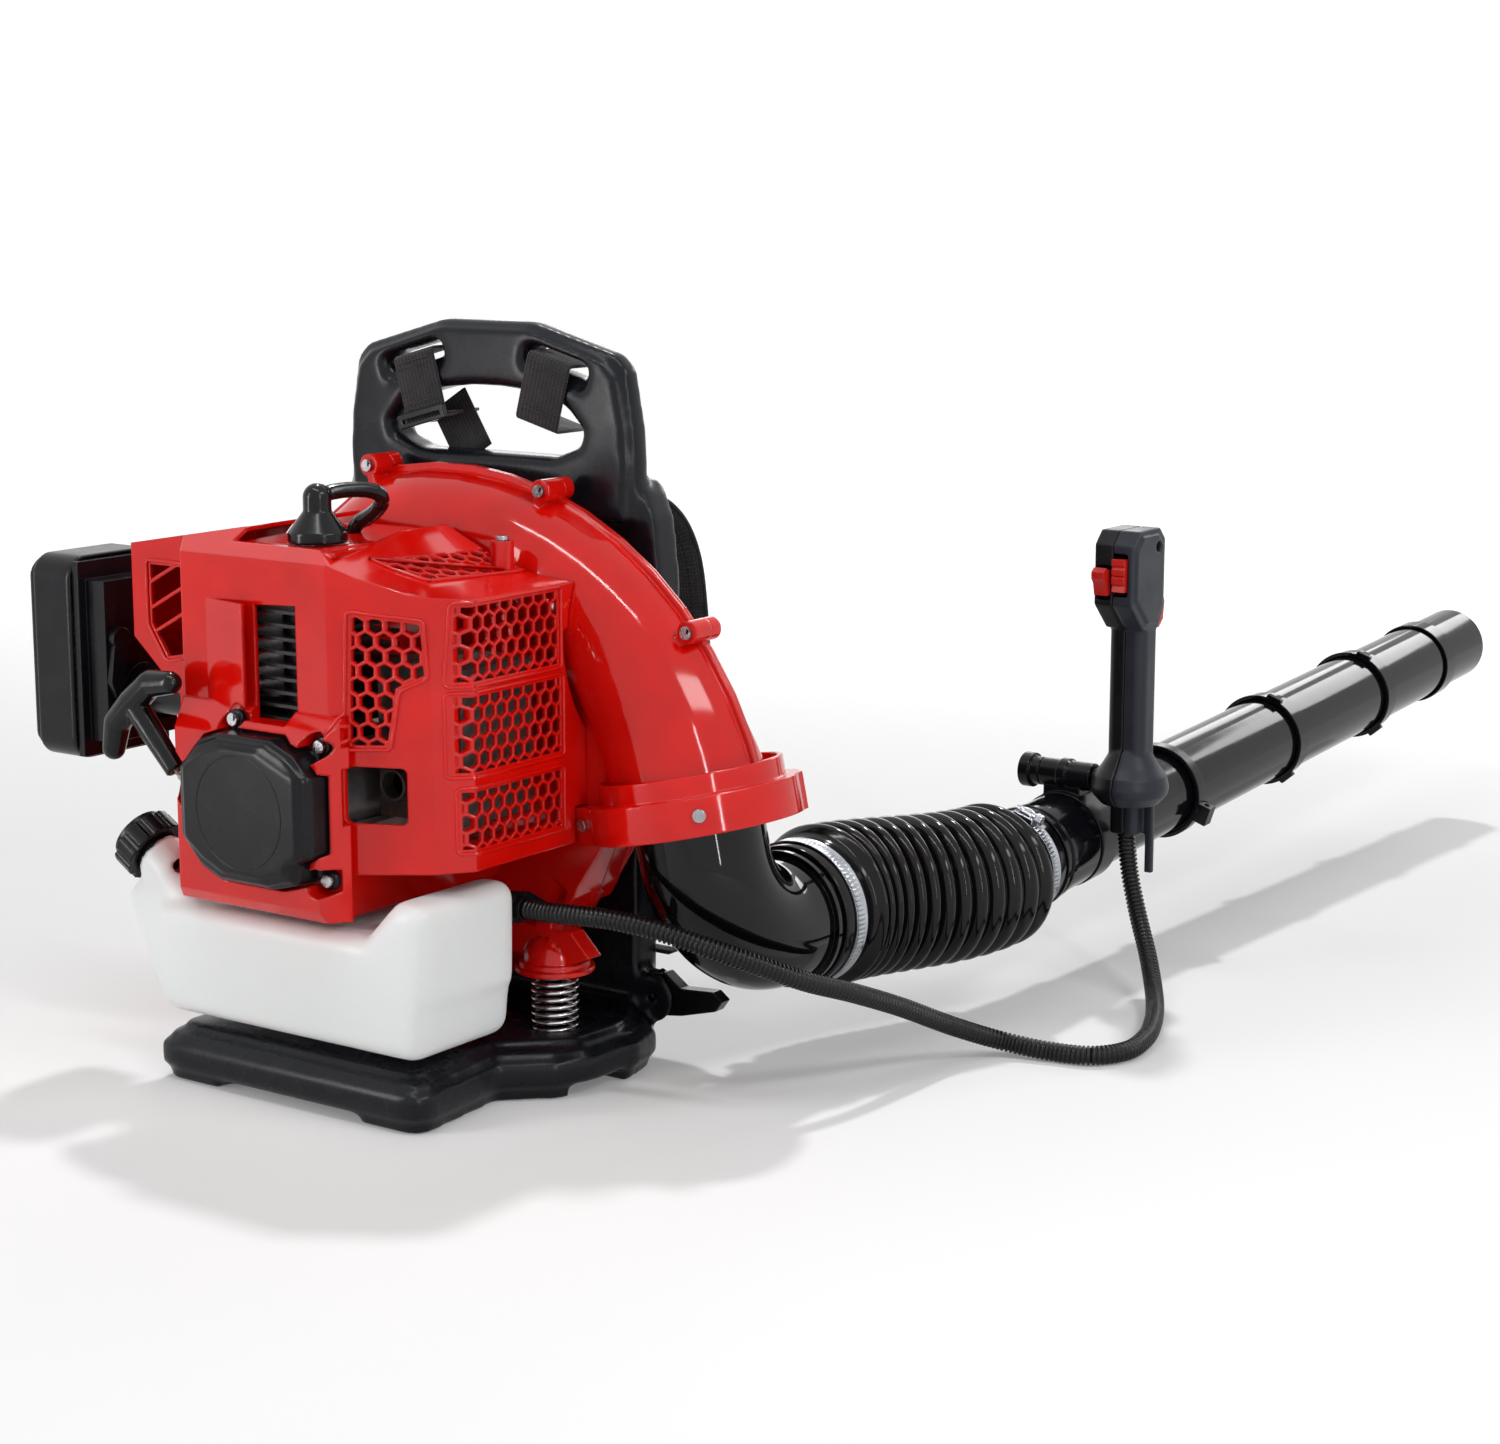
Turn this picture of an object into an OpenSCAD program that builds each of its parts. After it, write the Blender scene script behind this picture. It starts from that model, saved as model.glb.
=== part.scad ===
// Backpack leaf blower: carrying frame, two-stroke powerhead on springs, fan case and blow tube.
// Frame: +Z up, +Y towards the wearer, origin on the floor under the crankshaft.

/* [Engine] */
// Height of the crankshaft above the floor
crank_z = 210; // [205:1:216]
// Distance of the cylinder in front of the fan case's split plane
cyl_back = 150; // [147:1:152]
// Cylinder bore diameter
bore_d = 40; // [32:1:44]
// Piston stroke
stroke = 32; // [24:1:32]
// Connecting rod length between centres
rod_len = 60; // [58:1:64]
// Number of cooling fins
fin_count = 8; // [5:1:9]
// Thickness of a cooling fin
fin_t = 2.4; // [1.6:0.2:3.2]

/* [Cover] */
// Wall of the moulded shells
wall = 3; // [2.4:0.2:3.6]
// Flat-to-flat size of a grille cell
cell = 9.6; // [7:0.2:11]
// Web between two grille cells
cell_web = 2; // [1.4:0.2:3]
// Height of the starter housing
starter_h = 100; // [92:1:104]
// Width of the starter housing
starter_w = 116; // [108:1:118]
// Depth of the starter housing
starter_d = 32; // [28:1:36]

/* [Fan] */
// Outer radius of the fan duct's round back
duct_r = 275; // [272:1:277]
// Radius of the duct at its outlet
outlet_r = 56; // [53:1:57]
// Radius of the duct at the top of the scroll
crown_r = 42; // [36:1:44]
// Tilt of the outlet away from vertical, in degrees
outlet_tilt = 12; // [8:1:16]
// Number of impeller blades
blades = 12; // [8:1:16]
// Impeller radius
impeller_r = 125; // [110:1:128]

/* [Blow tube] */
// Outer radius of the elbow
elbow_r = 45; // [42:0.5:46]
// Bend radius of the elbow
elbow_bend = 60; // [56:1:66]
// Outer radius of the bellows ribs
rib_r = 59; // [55:0.5:61]
// Number of bellows ribs
rib_count = 12; // [6:1:14]
// Outer radius of the swivel pipe
pipe_r = 34; // [32:0.5:35]
// Wall of the pipes
pipe_wall = 2.2; // [1.6:0.1:2.6]
// Length of the rear blow pipe
pipe_a_len = 204; // [160:1:260]
// Length of the middle blow pipe
pipe_b_len = 206; // [160:1:260]
// Length of the front blow pipe
pipe_c_len = 162; // [120:1:220]
// Length of the nozzle
nozzle_len = 98; // [70:1:160]
// Rise of the blow tube, in degrees
tube_rise = 3.7; // [2:0.1:5]

/* [Handle] */
// Height of the handle's tilt axis
handle_z = 160; // [159:0.5:164]
// Width of the grip's stem
stem_w = 31; // [26:1:32]
// Height of the grip above the tilt axis
grip_h = 197; // [180:1:215]
// Radius of the handle shaft
shaft_r = 8; // [6:0.5:8.5]

/* [Frame] */
// Height of the whole frame
frame_h = 519; // [505:1:530]
// Thickness of the upright
upright_t = 28; // [26:1:30]
// Height of the foot
foot_h = 40; // [36:1:42]
// Webbing width
web_w = 38; // [30:1:42]

/* [Tank] */
// Height of the tank's underside
tank_z = 48; // [47:1:54]
// Tank wall
tank_wall = 3; // [2:0.5:4]
// Radius of the fuel cap
cap_r = 22; // [19:1:24]

/* [Springs] */
// Coil radius of a mounting spring, to the middle of the wire
coil_r = 15.4; // [13:0.2:16]
// Radius of the spring wire
wire_r = 1.5; // [1:0.1:1.8]
// Turns of a mounting spring
coils = 8; // [5:1:9]

/* [Throttle conduit] */
// Outer radius of the corrugated conduit
conduit_r = 7; // [5:0.1:7.2]
// Ribs along the conduit
conduit_ribs = 80; // [40:1:90]

/* [Hidden] */
$fn = 64;
red = "crimson";
black = "#26272b";
steel = "silver";

split_y = 60;                       // plane where the fan case halves meet
cyl_y = split_y - cyl_back;         // cylinder axis
fit = 0.05;                         // radial running clearance
gap = 0.4;                          // clearance between neighbours that don't fit
cut = 1;                            // overshoot of a cutting solid
case_r = 38;                        // crankcase radius
case_half = 32;                     // half length of the crankcase
deck_z = crank_z + 40;              // crankcase deck, under the cylinder
crank_r = 6;                        // crankpin radius
main_r = 8;                         // crankshaft main journal radius
web_r = 25;                         // crank web radius
pin_z = crank_z + stroke / 2;       // crankpin at top dead centre
small_end_z = pin_z + rod_len;      // gudgeon pin
piston_r = bore_d / 2 - fit;
piston_up = 14;                     // crown above the gudgeon pin
piston_down = 14;                   // skirt below it
head_z = small_end_z + piston_up + 4;
fin_pitch = 9;
fin_x = 42;
fin_y = 37;
fin_z0 = deck_z + 14;
plug_z = head_z + 14;
boot_z = 380;                       // seat of the plug boot on the cover
front_y = -135;                     // front face of the engine cover
side_x = 131;                       // right face of the engine cover
starter_y = front_y - 6;            // back of the starter housing
rope_r = 1.8;
scroll_c = [-10, 141];              // centre of the duct's round back, X and Z
duct_t0 = outlet_tilt + 3.4;        // end of the duct, seen from that centre
duct_t1 = 100;                      // where the scroll takes over
scroll_t1 = 325;                    // tongue of the scroll
scroll_r0 = 210;                    // scroll radius where it leaves the round back
scroll_r1 = 142;                    // scroll radius at the tongue
wall_y0 = 30;                       // outside of the front fan wall
wall_y1 = 80;                       // outside of the rear fan wall
lip = 4;                            // width of the rim flange of the case halves
lip_t = 3;                          // thickness of that flange in each half
eye_r = 62;                         // air inlet of the fan
out_mid = duct_r - outlet_r;
outlet = [scroll_c[0] + out_mid * cos(outlet_tilt), split_y, scroll_c[1] + out_mid * sin(outlet_tilt)];
collar_r = 73;
collar_z0 = -2;                     // underside of the collar
collar_flange = 26;                 // height of the collar's flange
collar_z1 = 38;                     // top of the collar's sleeve
elbow_drop = 22;                    // start of the elbow's bend below the outlet
elbow_wall = 3;
elbow_end = 62;                     // straight length after the bend
axis_drop = elbow_drop + elbow_bend;
hose_x = outlet[0] + axis_drop * sin(outlet_tilt);
hose_z = outlet[2] - axis_drop * cos(outlet_tilt);
cuff_y0 = split_y + elbow_bend + 22;
cuff_y1 = cuff_y0 + 36;
tube_x = 268;
tube_y = 350;                       // start of the swivel pipe
tube_z = 103.4;
handle_s = 112;                     // handle's place along the tube
handle_y = tube_y + handle_s * cos(tube_rise);
grip_x = 321;                       // seam plane of the grip
neck_x = grip_x - 2;
head_w = 32;
head_d = 53;
head_h = 76;
upright_y = 92;
arch_y = 81;                        // front of the handle arch
foot_z = 10;                        // top of the foot's sole layer
lug_at = [136, 45];                 // lower strap lug, X and Z
lug_y = upright_y + 2;
lug_t = 18;
lug_pin_r = 3;
spring_at = [109, 20];
spring_z0 = 32;
spring_z1 = 78;
dome_r = 28;
tank_top = 128;
tank_shoulder = 156;
tank_back = -36;                    // rear face of the tank
cap_at = [-140, -112, 153];
cap_tilt = 57;
gland_at = [110, -24, 132];
screw_head_r = 4.5;

// ---- helpers ---------------------------------------------------------------------------------
module slab_y(y0, y1) translate([0, y1, 0]) rotate([90, 0, 0]) linear_extrude(y1 - y0) children();
module slab_x(x0, x1) translate([x0, 0, 0]) rotate([90, 0, 90]) linear_extrude(x1 - x0) children();
module rod_y(r, y0, y1) translate([0, y1, 0]) rotate([90, 0, 0]) cylinder(r = r, h = y1 - y0);
module rod_x(r, x0, x1) translate([x0, 0, 0]) rotate([0, 90, 0]) cylinder(r = r, h = x1 - x0);
module ring_y(ro, ri, y0, y1) difference() {
    rod_y(ro, y0, y1);
    rod_y(ri, y0 - cut, y1 + cut);
}
module ring_x(ro, ri, x0, x1) difference() {
    rod_x(ro, x0, x1);
    rod_x(ri, x0 - cut, x1 + cut);
}
module round_rect(w, h, r) {
    square([w - 2 * r, h], center = true);
    square([w, h - 2 * r], center = true);
    for (sx = [-1, 1]) for (sy = [-1, 1])
        translate([sx * (w / 2 - r), sy * (h / 2 - r)]) circle(r, $fn = 24);
}
module mirror_x() {
    children();
    mirror([1, 0, 0]) children();
}
module at_crank() translate([0, 0, crank_z]) children();
module at_outlet() translate(outlet) rotate([0, -outlet_tilt, 0]) children();
module at_tube() translate([tube_x, tube_y, tube_z]) rotate([tube_rise, 0, 0]) children();
module at_handle() translate([0, handle_y, handle_z]) children();

// Quads between rings of equal size, as triangles
function ring_faces(n, m, closed = false) = [for (i = [0 : closed ? n - 1 : n - 2]) for (j = [0 : m - 1])
    let (k = (i + 1) % n, l = (j + 1) % m)
        each [[i * m + j, i * m + l, k * m + l], [i * m + j, k * m + l, k * m + j]]];
// A closed skin over rings, with flat ends
module skin(rings) {
    n = len(rings);
    m = len(rings[0]);
    first = [for (j = [0 : m - 1]) m - 1 - j];
    last = [for (j = [0 : m - 1]) (n - 1) * m + j];
    polyhedron([for (r = rings) each r], concat(ring_faces(n, m), [first], [last]));
}
// A tube with a bore: outer rings out, inner rings back, joined at both ends
module hollow_skin(outer, inner) {
    n = len(outer);
    back = [for (i = [0 : n - 1]) inner[n - 1 - i]];
    polyhedron([for (r = concat(outer, back)) each r], ring_faces(2 * n, len(outer[0]), true));
}
function unit(v) = v / norm(v);
// Ring of m points about centre c, square to direction t
function ring_at(c, t, r, m, ref) = let (u = unit(cross(t, ref)), v = cross(unit(t), u))
    [for (j = [0 : m - 1]) c + r * (cos(360 * j / m) * u - sin(360 * j / m) * v)];
// Catmull-Rom point at parameter s over the points p
function smooth_at(p, s) = let (n = len(p) - 1, i = min(floor(s), n - 1), f = s - i,
    a = p[max(i - 1, 0)], b = p[i], c = p[i + 1], d = p[min(i + 2, n)])
    0.5 * (2 * b + (c - a) * f + (2 * a - 5 * b + 4 * c - d) * f * f + (3 * b - a - 3 * c + d) * f * f * f);
function running(v, i = 0, acc = 0) = i == len(v) ? [] : concat([acc + v[i]], running(v, i + 1, acc + v[i]));

// Honeycomb of cells within a w by h field
module honeycomb(w, h) {
    pitch = cell + cell_web;
    rise = pitch * sqrt(3) / 2;
    nx = floor(w / pitch);
    ny = floor(h / rise);
    for (j = [0 : ny]) for (i = [0 : nx + 1])
        translate([(i - 0.5 + (j % 2) * 0.5) * pitch, j * rise]) rotate(30) circle(cell / sqrt(3), $fn = 6);
}

// ---- carrying frame --------------------------------------------------------------------------
function both(p) = concat(p, [for (i = [len(p) - 1 : -1 : 0]) [-p[i][0], p[i][1]]]);
// Right halves of the outlines, drawn in by d; X and Z for the arch, X and Y for the foot
function arch_pts(d) = [[40, frame_h - d], [113 - d, frame_h - 20 - d], [123 - d, frame_h - 30 - d],
    [130 - d, frame_h - 69], [132 - d, frame_h - 94], [131 - d, frame_h - 119], [131 - d, frame_h - 136]];
function window_pts(d) = [[62, frame_h - 93 - d], [84 + d, frame_h - 85 - d / 2], [88 + d, frame_h - 73],
    [70 + d, frame_h - 57 + d], [40, frame_h - 49 + d], [14, frame_h - 46 + d]];
function foot_pts(d) = [[104 - d, d - 140], [117 - d, d - 137], [122 - d, d - 127], [115 - d, d - 52],
    [145 - d, d - 24], [156 - d, 0], [159 - d, 50 - d], [152 - d, 80 - d], [118 - d, 112]];
upright_w = outlet[0] - collar_r + 15.8; // half width of the upright beside the outlet collar
upright_pts = [[upright_w - 19, frame_h - 107], [upright_w - 13, frame_h - 114],
    [upright_w - 5, frame_h - 134], [upright_w, frame_h - 180], [upright_w - 1, frame_h - 199],
    [upright_w - 17, frame_h - 279], [upright_w - 23, 60], [upright_w - 29, foot_z]];
chamfer = 6;

module foot() {
    difference() {
        union() {
            translate([0, 0, foot_z]) linear_extrude(foot_h - foot_z - 12) polygon(both(foot_pts(0)));
            translate([0, 0, foot_z]) linear_extrude(foot_h - foot_z - 6) polygon(both(foot_pts(5)));
            translate([0, 0, foot_z]) linear_extrude(foot_h - foot_z) polygon(both(foot_pts(12)));
        }
        mirror_x() translate([spring_at[0], spring_at[1], spring_z0]) cylinder(r = coil_r + 4, h = 30);
    }
    difference() {
        linear_extrude(foot_z) polygon(both(foot_pts(4)));
        for (s = [-1, 1]) translate([s * 136, 14, -cut]) cube([60, 50, 2 * foot_z], center = true);
        translate([0, -138, -cut]) cube([130, 30, 2 * foot_z - 6], center = true);
    }
}
module at_lug() translate([lug_at[0], 0, lug_at[1]]) children();
module strap_slot() translate([65, frame_h - 27]) rotate(-15) round_rect(54, 12, 5);
module slot_recess() translate([65, frame_h - 30]) rotate(-15) round_rect(60, 22, 8);
module backpack_frame() color(black) {
    foot();
    difference() {
        union() {
            slab_y(arch_y + chamfer, arch_y + upright_t - chamfer) polygon(both(arch_pts(0)));
            slab_y(arch_y, arch_y + upright_t) polygon(both(arch_pts(chamfer)));
            slab_y(upright_y, upright_y + upright_t) polygon(both(upright_pts));
            mirror_x() at_lug() rod_y(19, lug_y, lug_y + lug_t);
        }
        mirror_x() slab_y(lug_y + 4 - gap, lug_y + 14 + gap)
            polygon([[129, 26], [129, 68], [160, 68], [160, 26]]);
        mirror_x() at_lug() rod_y(lug_pin_r + fit, lug_y - cut, lug_y + lug_t + cut);
        slab_y(arch_y - cut, upright_y + upright_t + cut) polygon(both(window_pts(0)));
        slab_y(arch_y - cut, arch_y + 4) polygon(both(window_pts(4)));
        for (s = [0, 1]) mirror([s, 0, 0]) {
            slab_y(arch_y - cut, arch_y + upright_t + cut) strap_slot();
            slab_y(arch_y - cut, arch_y + 5) slot_recess();
        }
        translate([0, 0, crank_z]) rod_y(eye_r + 20, upright_y - cut, upright_y + 14);
    }
}

// Cushion over a w by h outline: flat towards the frame, crowned towards the back
module cushion(w, h, thick, n = 12, m = 32) {
    ring = function(k) let (s = 1 - pow(k / n, 2.2))
        [for (j = [0 : m - 1])
            let (a = 360 * j / m, q = pow(pow(abs(cos(a)), 5) + pow(abs(sin(a)), 5), -1 / 5))
            [w / 2 * q * cos(a) * (0.25 + 0.75 * sqrt(s)), thick * (0.15 + 0.85 * sqrt(k / n)),
                h / 2 * q * sin(a) * (0.25 + 0.75 * sqrt(s))]];
    skin([for (k = [0 : n]) k == 0 ? [for (p = ring(0)) [p[0], 0, p[2]]] : ring(k)]);
}
pad_z = 252;
pad_h = 230;
pad_w = 160;
pad_t = 26;
module back_pad() color("dimgray")
    translate([0, upright_y + upright_t + gap, pad_z]) cushion(pad_w, pad_h, pad_t);

// Middle line of the right shoulder strap, from the top slot to the lower bracket
strap_route = [[74, 128, 376], [76, 140, 388], [82, 152, 388], [90, 162, 374], [99, 167, 350],
    [103, 169, 316], [106, 169, 270], [109, 166, 220], [114, 160, 170], [119, 151, 130], [122, 142, 102],
    [122, 134, 84]];
strap_steps = 30;
module strap_pad(route, w, t) {
    n = len(route) - 1;
    rings = [for (k = [0 : strap_steps]) let (s = n * k / strap_steps, c = smooth_at(route, s),
        d = smooth_at(route, min(s + 0.05, n)) - smooth_at(route, max(s - 0.05, 0)),
        v = unit(cross(unit(d), [1, 0, 0])), u = unit(cross(v, unit(d))),
        g = 0.6 + 0.4 * sqrt(sin(180 * (k + 0.5) / (strap_steps + 1))))
        [for (q = [[1, 0.3], [0.8, 1], [0, 1.15], [-0.8, 1], [-1, 0.3], [-0.8, -1], [0, -1.15], [0.8, -1]])
            c + q[0] * w / 2 * g * u + q[1] * t / 2 * v]];
    skin(rings);
}
module shoulder_strap_right() color("dimgray") strap_pad(strap_route, 56, 12);
module shoulder_strap_left() color("dimgray") mirror([1, 0, 0]) strap_pad(strap_route, 56, 12);

// Webbing out of a slot, down the front of the arch and back through the window
web_t = 2.4;
module slot_webbing() translate([65, 0, frame_h - 27]) rotate([0, 15, 0]) {
    translate([-web_w / 2 - 3, arch_y - web_t, -45]) cube([web_w, web_t, 46]);
    translate([-web_w / 2 - 3, arch_y - web_t, 0]) cube([web_w, upright_t, web_t]);
    translate([-web_w / 2 - 3, arch_y - web_t, -45]) cube([web_w, upright_t + 10, web_t]);
}
module strap_webbing() color("#1b1b1d") {
    mirror_x() slot_webbing();
    slab_y(arch_y + 18, arch_y + 18 + web_t)
        polygon([[-64, frame_h - 64], [-30, frame_h - 54], [-4, frame_h - 97], [-42, frame_h - 99]]);
    mirror_x() translate([lug_at[0] - 26, upright_y + upright_t, lug_at[1] + 25]) cube([24, 12, web_t]);
}
module strap_buckles() color("#141416") {
    translate([-52, arch_y - web_t, frame_h - 70]) rotate([0, -15, 0]) difference() {
        translate([-22, -4, -5]) cube([44, 4, 10]);
        translate([-18, -5, -2]) cube([36, 6, 3]);
    }
    mirror_x() {
        at_lug() rod_y(lug_pin_r, lug_y, lug_y + lug_t);
        slab_y(lug_y + 4, lug_y + 14) polygon([[130, 58], [146, 64], [160, 54], [188, 56], [196, 50],
            [190, 42], [160, 34], [130, 30]]);
    }
}

// ---- springs and engine bed ------------------------------------------------------------------
curl_rings = 8;
coil_h = spring_z1 - spring_z0 - 2 * wire_r;
coil_pts = [for (i = [0 : coils * curl_rings]) let (a = 360 * i / curl_rings)
    [coil_r * cos(a), coil_r * sin(a), coil_h * i / (coils * curl_rings)]];
coil_gap = min([for (i = [0 : len(coil_pts) - 1]) for (j = [i + 5 : 1 : len(coil_pts) - 1])
    norm(coil_pts[i] - coil_pts[j])]) - 2 * wire_r;
echo(least_gap_between_spring_turns = coil_gap);
module coil_spring() skin([for (i = [0 : len(coil_pts) - 1]) let (a = 360 * i / curl_rings)
    ring_at(coil_pts[i], [-sin(a), cos(a), 0.05], wire_r, 6, [0, 0, 1])]);
module mount_springs() color(steel) mirror_x()
    translate([spring_at[0], spring_at[1], spring_z0 + wire_r]) coil_spring();
module rear_buffers() color("#101010") mirror_x() translate([100, 0, frame_h - 189])
    rod_y(12, wall_y1, upright_y);

bed_z = 88;
pad_top = bed_z + 28;                // seat of the gland's bracket
module engine_bed() color(red) {
    difference() {
        union() {
            mirror_x() translate([spring_at[0], spring_at[1], spring_z1]) {
                cylinder(r = dome_r, h = 4);
                cylinder(r = dome_r - 3, h = 8);
                translate([0, 0, 8]) sphere(dome_r - 6);
            }
            mirror_x() slab_y(spring_at[1] - 12, wall_y0 - 8) polygon([[0, bed_z + 30], [60, bed_z + 24],
                [spring_at[0] + 24, bed_z + 22], [spring_at[0] + 40, bed_z + 6],
                [spring_at[0] + 16, bed_z - 4], [60, bed_z + 4], [0, bed_z + 14]]);
        }
        mirror_x() translate([spring_at[0], spring_at[1], spring_z1 - 2 * dome_r])
            cylinder(r = 2 * dome_r, h = 2 * dome_r);
        translate([-200, wall_y0 - 4, 0]) cube([140, 60, 200]);
    }
    translate([gland_at[0] - 8, spring_at[1] - 12, bed_z + 6]) cube([14, 14, pad_top - bed_z - 6]);
    mirror_x() slab_x(36, 46) polygon([[tank_back, bed_z + 4], [wall_y0 - 8, bed_z + 12],
        [wall_y0, bed_z + 20], [wall_y0, 150], [wall_y0 - 8, 150], [spring_at[1] - 12, bed_z + 30],
        [tank_back, bed_z + 20]]);
}

// ---- engine ----------------------------------------------------------------------------------
module crankcase() color("darkgray") difference() {
    union() {
        at_crank() rod_y(case_r, cyl_y - case_half, cyl_y + case_half);
        translate([-30, cyl_y - 30, crank_z]) cube([60, 60, deck_z - crank_z]);
        for (s = [-1, 1]) translate([s * 44 - 6, cyl_y - 26, crank_z - 40]) cube([12, 52, 26]);
        translate([-50, cyl_y - 26, crank_z - 44]) cube([100, 52, 8]);
        at_crank() for (a = [45 : 90 : 315]) rotate([0, a, 0]) {
            translate([case_r - 6, cyl_y + case_half - 5, -6]) cube([30, 5, 12]);
            translate([55, 0, 0]) rod_y(5, cyl_y + case_half - 5, wall_y0);
        }
        translate([-63, cyl_y + case_half - 5, crank_z - 6]) cube([30, 5, 12]);
    }
    at_crank() rod_y(web_r + 3, cyl_y - 20, cyl_y + 20);
    translate([0, cyl_y, crank_z]) cylinder(r = bore_d / 2 + 1, h = 60);
    at_crank() rod_y(14, cyl_y - case_half - cut, cyl_y - 22);
    at_crank() rod_y(14, cyl_y + 22, cyl_y + case_half + cut);
    at_crank() rod_y(main_r + 1, cyl_y - 40, cyl_y + 40);
}
module crank_bearings() color(steel) at_crank()
    for (y = [cyl_y - case_half + 1, cyl_y + 22]) ring_y(14, main_r + fit, y, y + 9);
module crankshaft() color("slategray") {
    at_crank() rod_y(main_r, cyl_y - 50, cyl_y - 8);
    at_crank() rod_y(main_r, cyl_y + 8, split_y - 4);
    at_crank() for (y = [cyl_y - 18, cyl_y + 8]) rod_y(web_r, y, y + 10);
    translate([0, 0, pin_z]) rod_y(crank_r, cyl_y - 9, cyl_y + 9);
}
module flywheel() color("gray") at_crank() difference() {
    union() {
        ring_y(46, 38, cyl_y + case_half + 4, cyl_y + case_half + 20);
        rod_y(38 + cut, cyl_y + case_half + 4, cyl_y + case_half + 8);
        rod_y(14, cyl_y + case_half + 4, cyl_y + case_half + 18);
    }
    rod_y(main_r, cyl_y, split_y);
}
hub_y0 = wall_y0 + 8;
hub_y1 = wall_y1 - 8;
module impeller() color("#303236") at_crank() difference() {
    union() {
        rod_y(impeller_r, hub_y0, hub_y0 + 3);
        rod_y(20, hub_y0, hub_y1 - 4);
        for (i = [0 : blades - 1]) rotate([0, 360 * i / blades, 0]) translate([52, hub_y0, 0])
            rotate([0, 28, 0]) translate([0, 0, -1.2]) cube([impeller_r - 62, hub_y1 - hub_y0, 2.4]);
    }
    rod_y(main_r, split_y - 60, split_y - 4);
}
module cylinder_block() color("lightgray") difference() {
    union() {
        translate([0, cyl_y, deck_z])
            cylinder(r = bore_d / 2 + 5, h = fin_z0 + fin_count * fin_pitch + fin_t - deck_z);
        translate([-28, cyl_y - 28, deck_z]) cube([56, 56, 6]);
        for (i = [0 : fin_count]) translate([0, cyl_y, fin_z0 + i * fin_pitch])
            linear_extrude(fin_t) round_rect(2 * fin_x, 2 * fin_y, 8);
    }
    translate([0, cyl_y, deck_z - cut]) cylinder(r = bore_d / 2, h = head_z - deck_z + cut);
    translate([0, cyl_y, head_z - cut]) cylinder(r = 5, h = 40);
    translate([0, cyl_y, head_z + 10]) cylinder(r = 12, h = 60);
}
module piston() color("lightgray") translate([0, cyl_y, small_end_z]) difference() {
    translate([0, 0, -piston_down]) cylinder(r = piston_r, h = piston_down + piston_up);
    translate([0, 0, -piston_down - cut]) cylinder(r = piston_r - 4, h = piston_down + piston_up - 4);
    translate([0, -cyl_y, 0]) rod_y(5, cyl_y - 25, cyl_y + 25);
}
module gudgeon_pin() color(steel) translate([0, 0, small_end_z]) rod_y(5, cyl_y - 18, cyl_y + 18);
fork_z = pin_z + crank_r + 2 * gap;  // open end of the rod's fork, clear of the crankpin's circle
fork_r = crank_r + gap;
module connecting_rod() color("gray") difference() {
    union() {
        translate([0, 0, small_end_z]) rod_y(8.5, cyl_y - 6, cyl_y + 6);
        translate([-fork_r - 3.4, cyl_y - 4, fork_z]) cube([2 * fork_r + 6.8, 8, stroke + 4]);
        translate([-6, cyl_y - 4, pin_z + stroke]) cube([12, 8, rod_len - stroke]);
    }
    translate([0, 0, small_end_z]) rod_y(5, cyl_y - 8, cyl_y + 8);
    translate([-fork_r, cyl_y - 8, fork_z - cut]) cube([2 * fork_r, 16, pin_z + stroke - fork_z + cut]);
    translate([0, 0, pin_z + stroke]) rod_y(fork_r, cyl_y - 8, cyl_y + 8);
}
module spark_plug() color("whitesmoke") translate([0, cyl_y, 0]) {
    translate([0, 0, head_z + 1]) cylinder(r = 5, h = 12);
    translate([0, 0, plug_z - 3.8]) cylinder(r = 9, h = 7, $fn = 6);
    translate([0, 0, plug_z + 3]) cylinder(r = 5, h = 30);
    translate([0, 0, plug_z + 33]) cylinder(r = 3, h = boot_z - plug_z - 14);
}
lead_end = [-24, cyl_y + 58];
lead_route = [[0, cyl_y, 410], [4, cyl_y + 14, 413], [12, cyl_y + 32, 413], [16, cyl_y + 44, 409],
    [10, cyl_y + 52, 401], [-4, cyl_y + 57, 392], [-18, cyl_y + 58, 385],
    [lead_end[0], lead_end[1], boot_z - 6]];
module round_tube(route, r, steps, sides = 8, ref = [0.5, -0.6, 0.6]) {
    n = len(route) - 1;
    skin([for (k = [0 : steps]) let (s = n * k / steps,
        d = smooth_at(route, min(s + 0.05, n)) - smooth_at(route, max(s - 0.05, 0)))
        ring_at(smooth_at(route, s), d, r, sides, ref)]);
}
module plug_boot_and_lead() color("#121214") {
    translate([0, cyl_y, 0]) difference() {
        union() {
            translate([0, 0, boot_z]) rotate_extrude()
                polygon([[0, 0], [20, 0], [20, 7], [9.5, 21], [9.5, 30], [0, 30]]);
            translate([0, 0, boot_z + 30]) sphere(9.5);
        }
        translate([0, 0, boot_z - cut]) cylinder(r = 5.2, h = 26);
    }
    round_tube(lead_route, 5.6, 16);
}
module ignition_coil() color("#2c2c30") translate([-66, cyl_y + case_half, crank_z - 15]) {
    cube([17, 20, 30]);
    translate([3, 4, 29]) cube([10, 10, 8]);
}
muffler_x0 = 48;
muffler_z = [200, 304];
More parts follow.
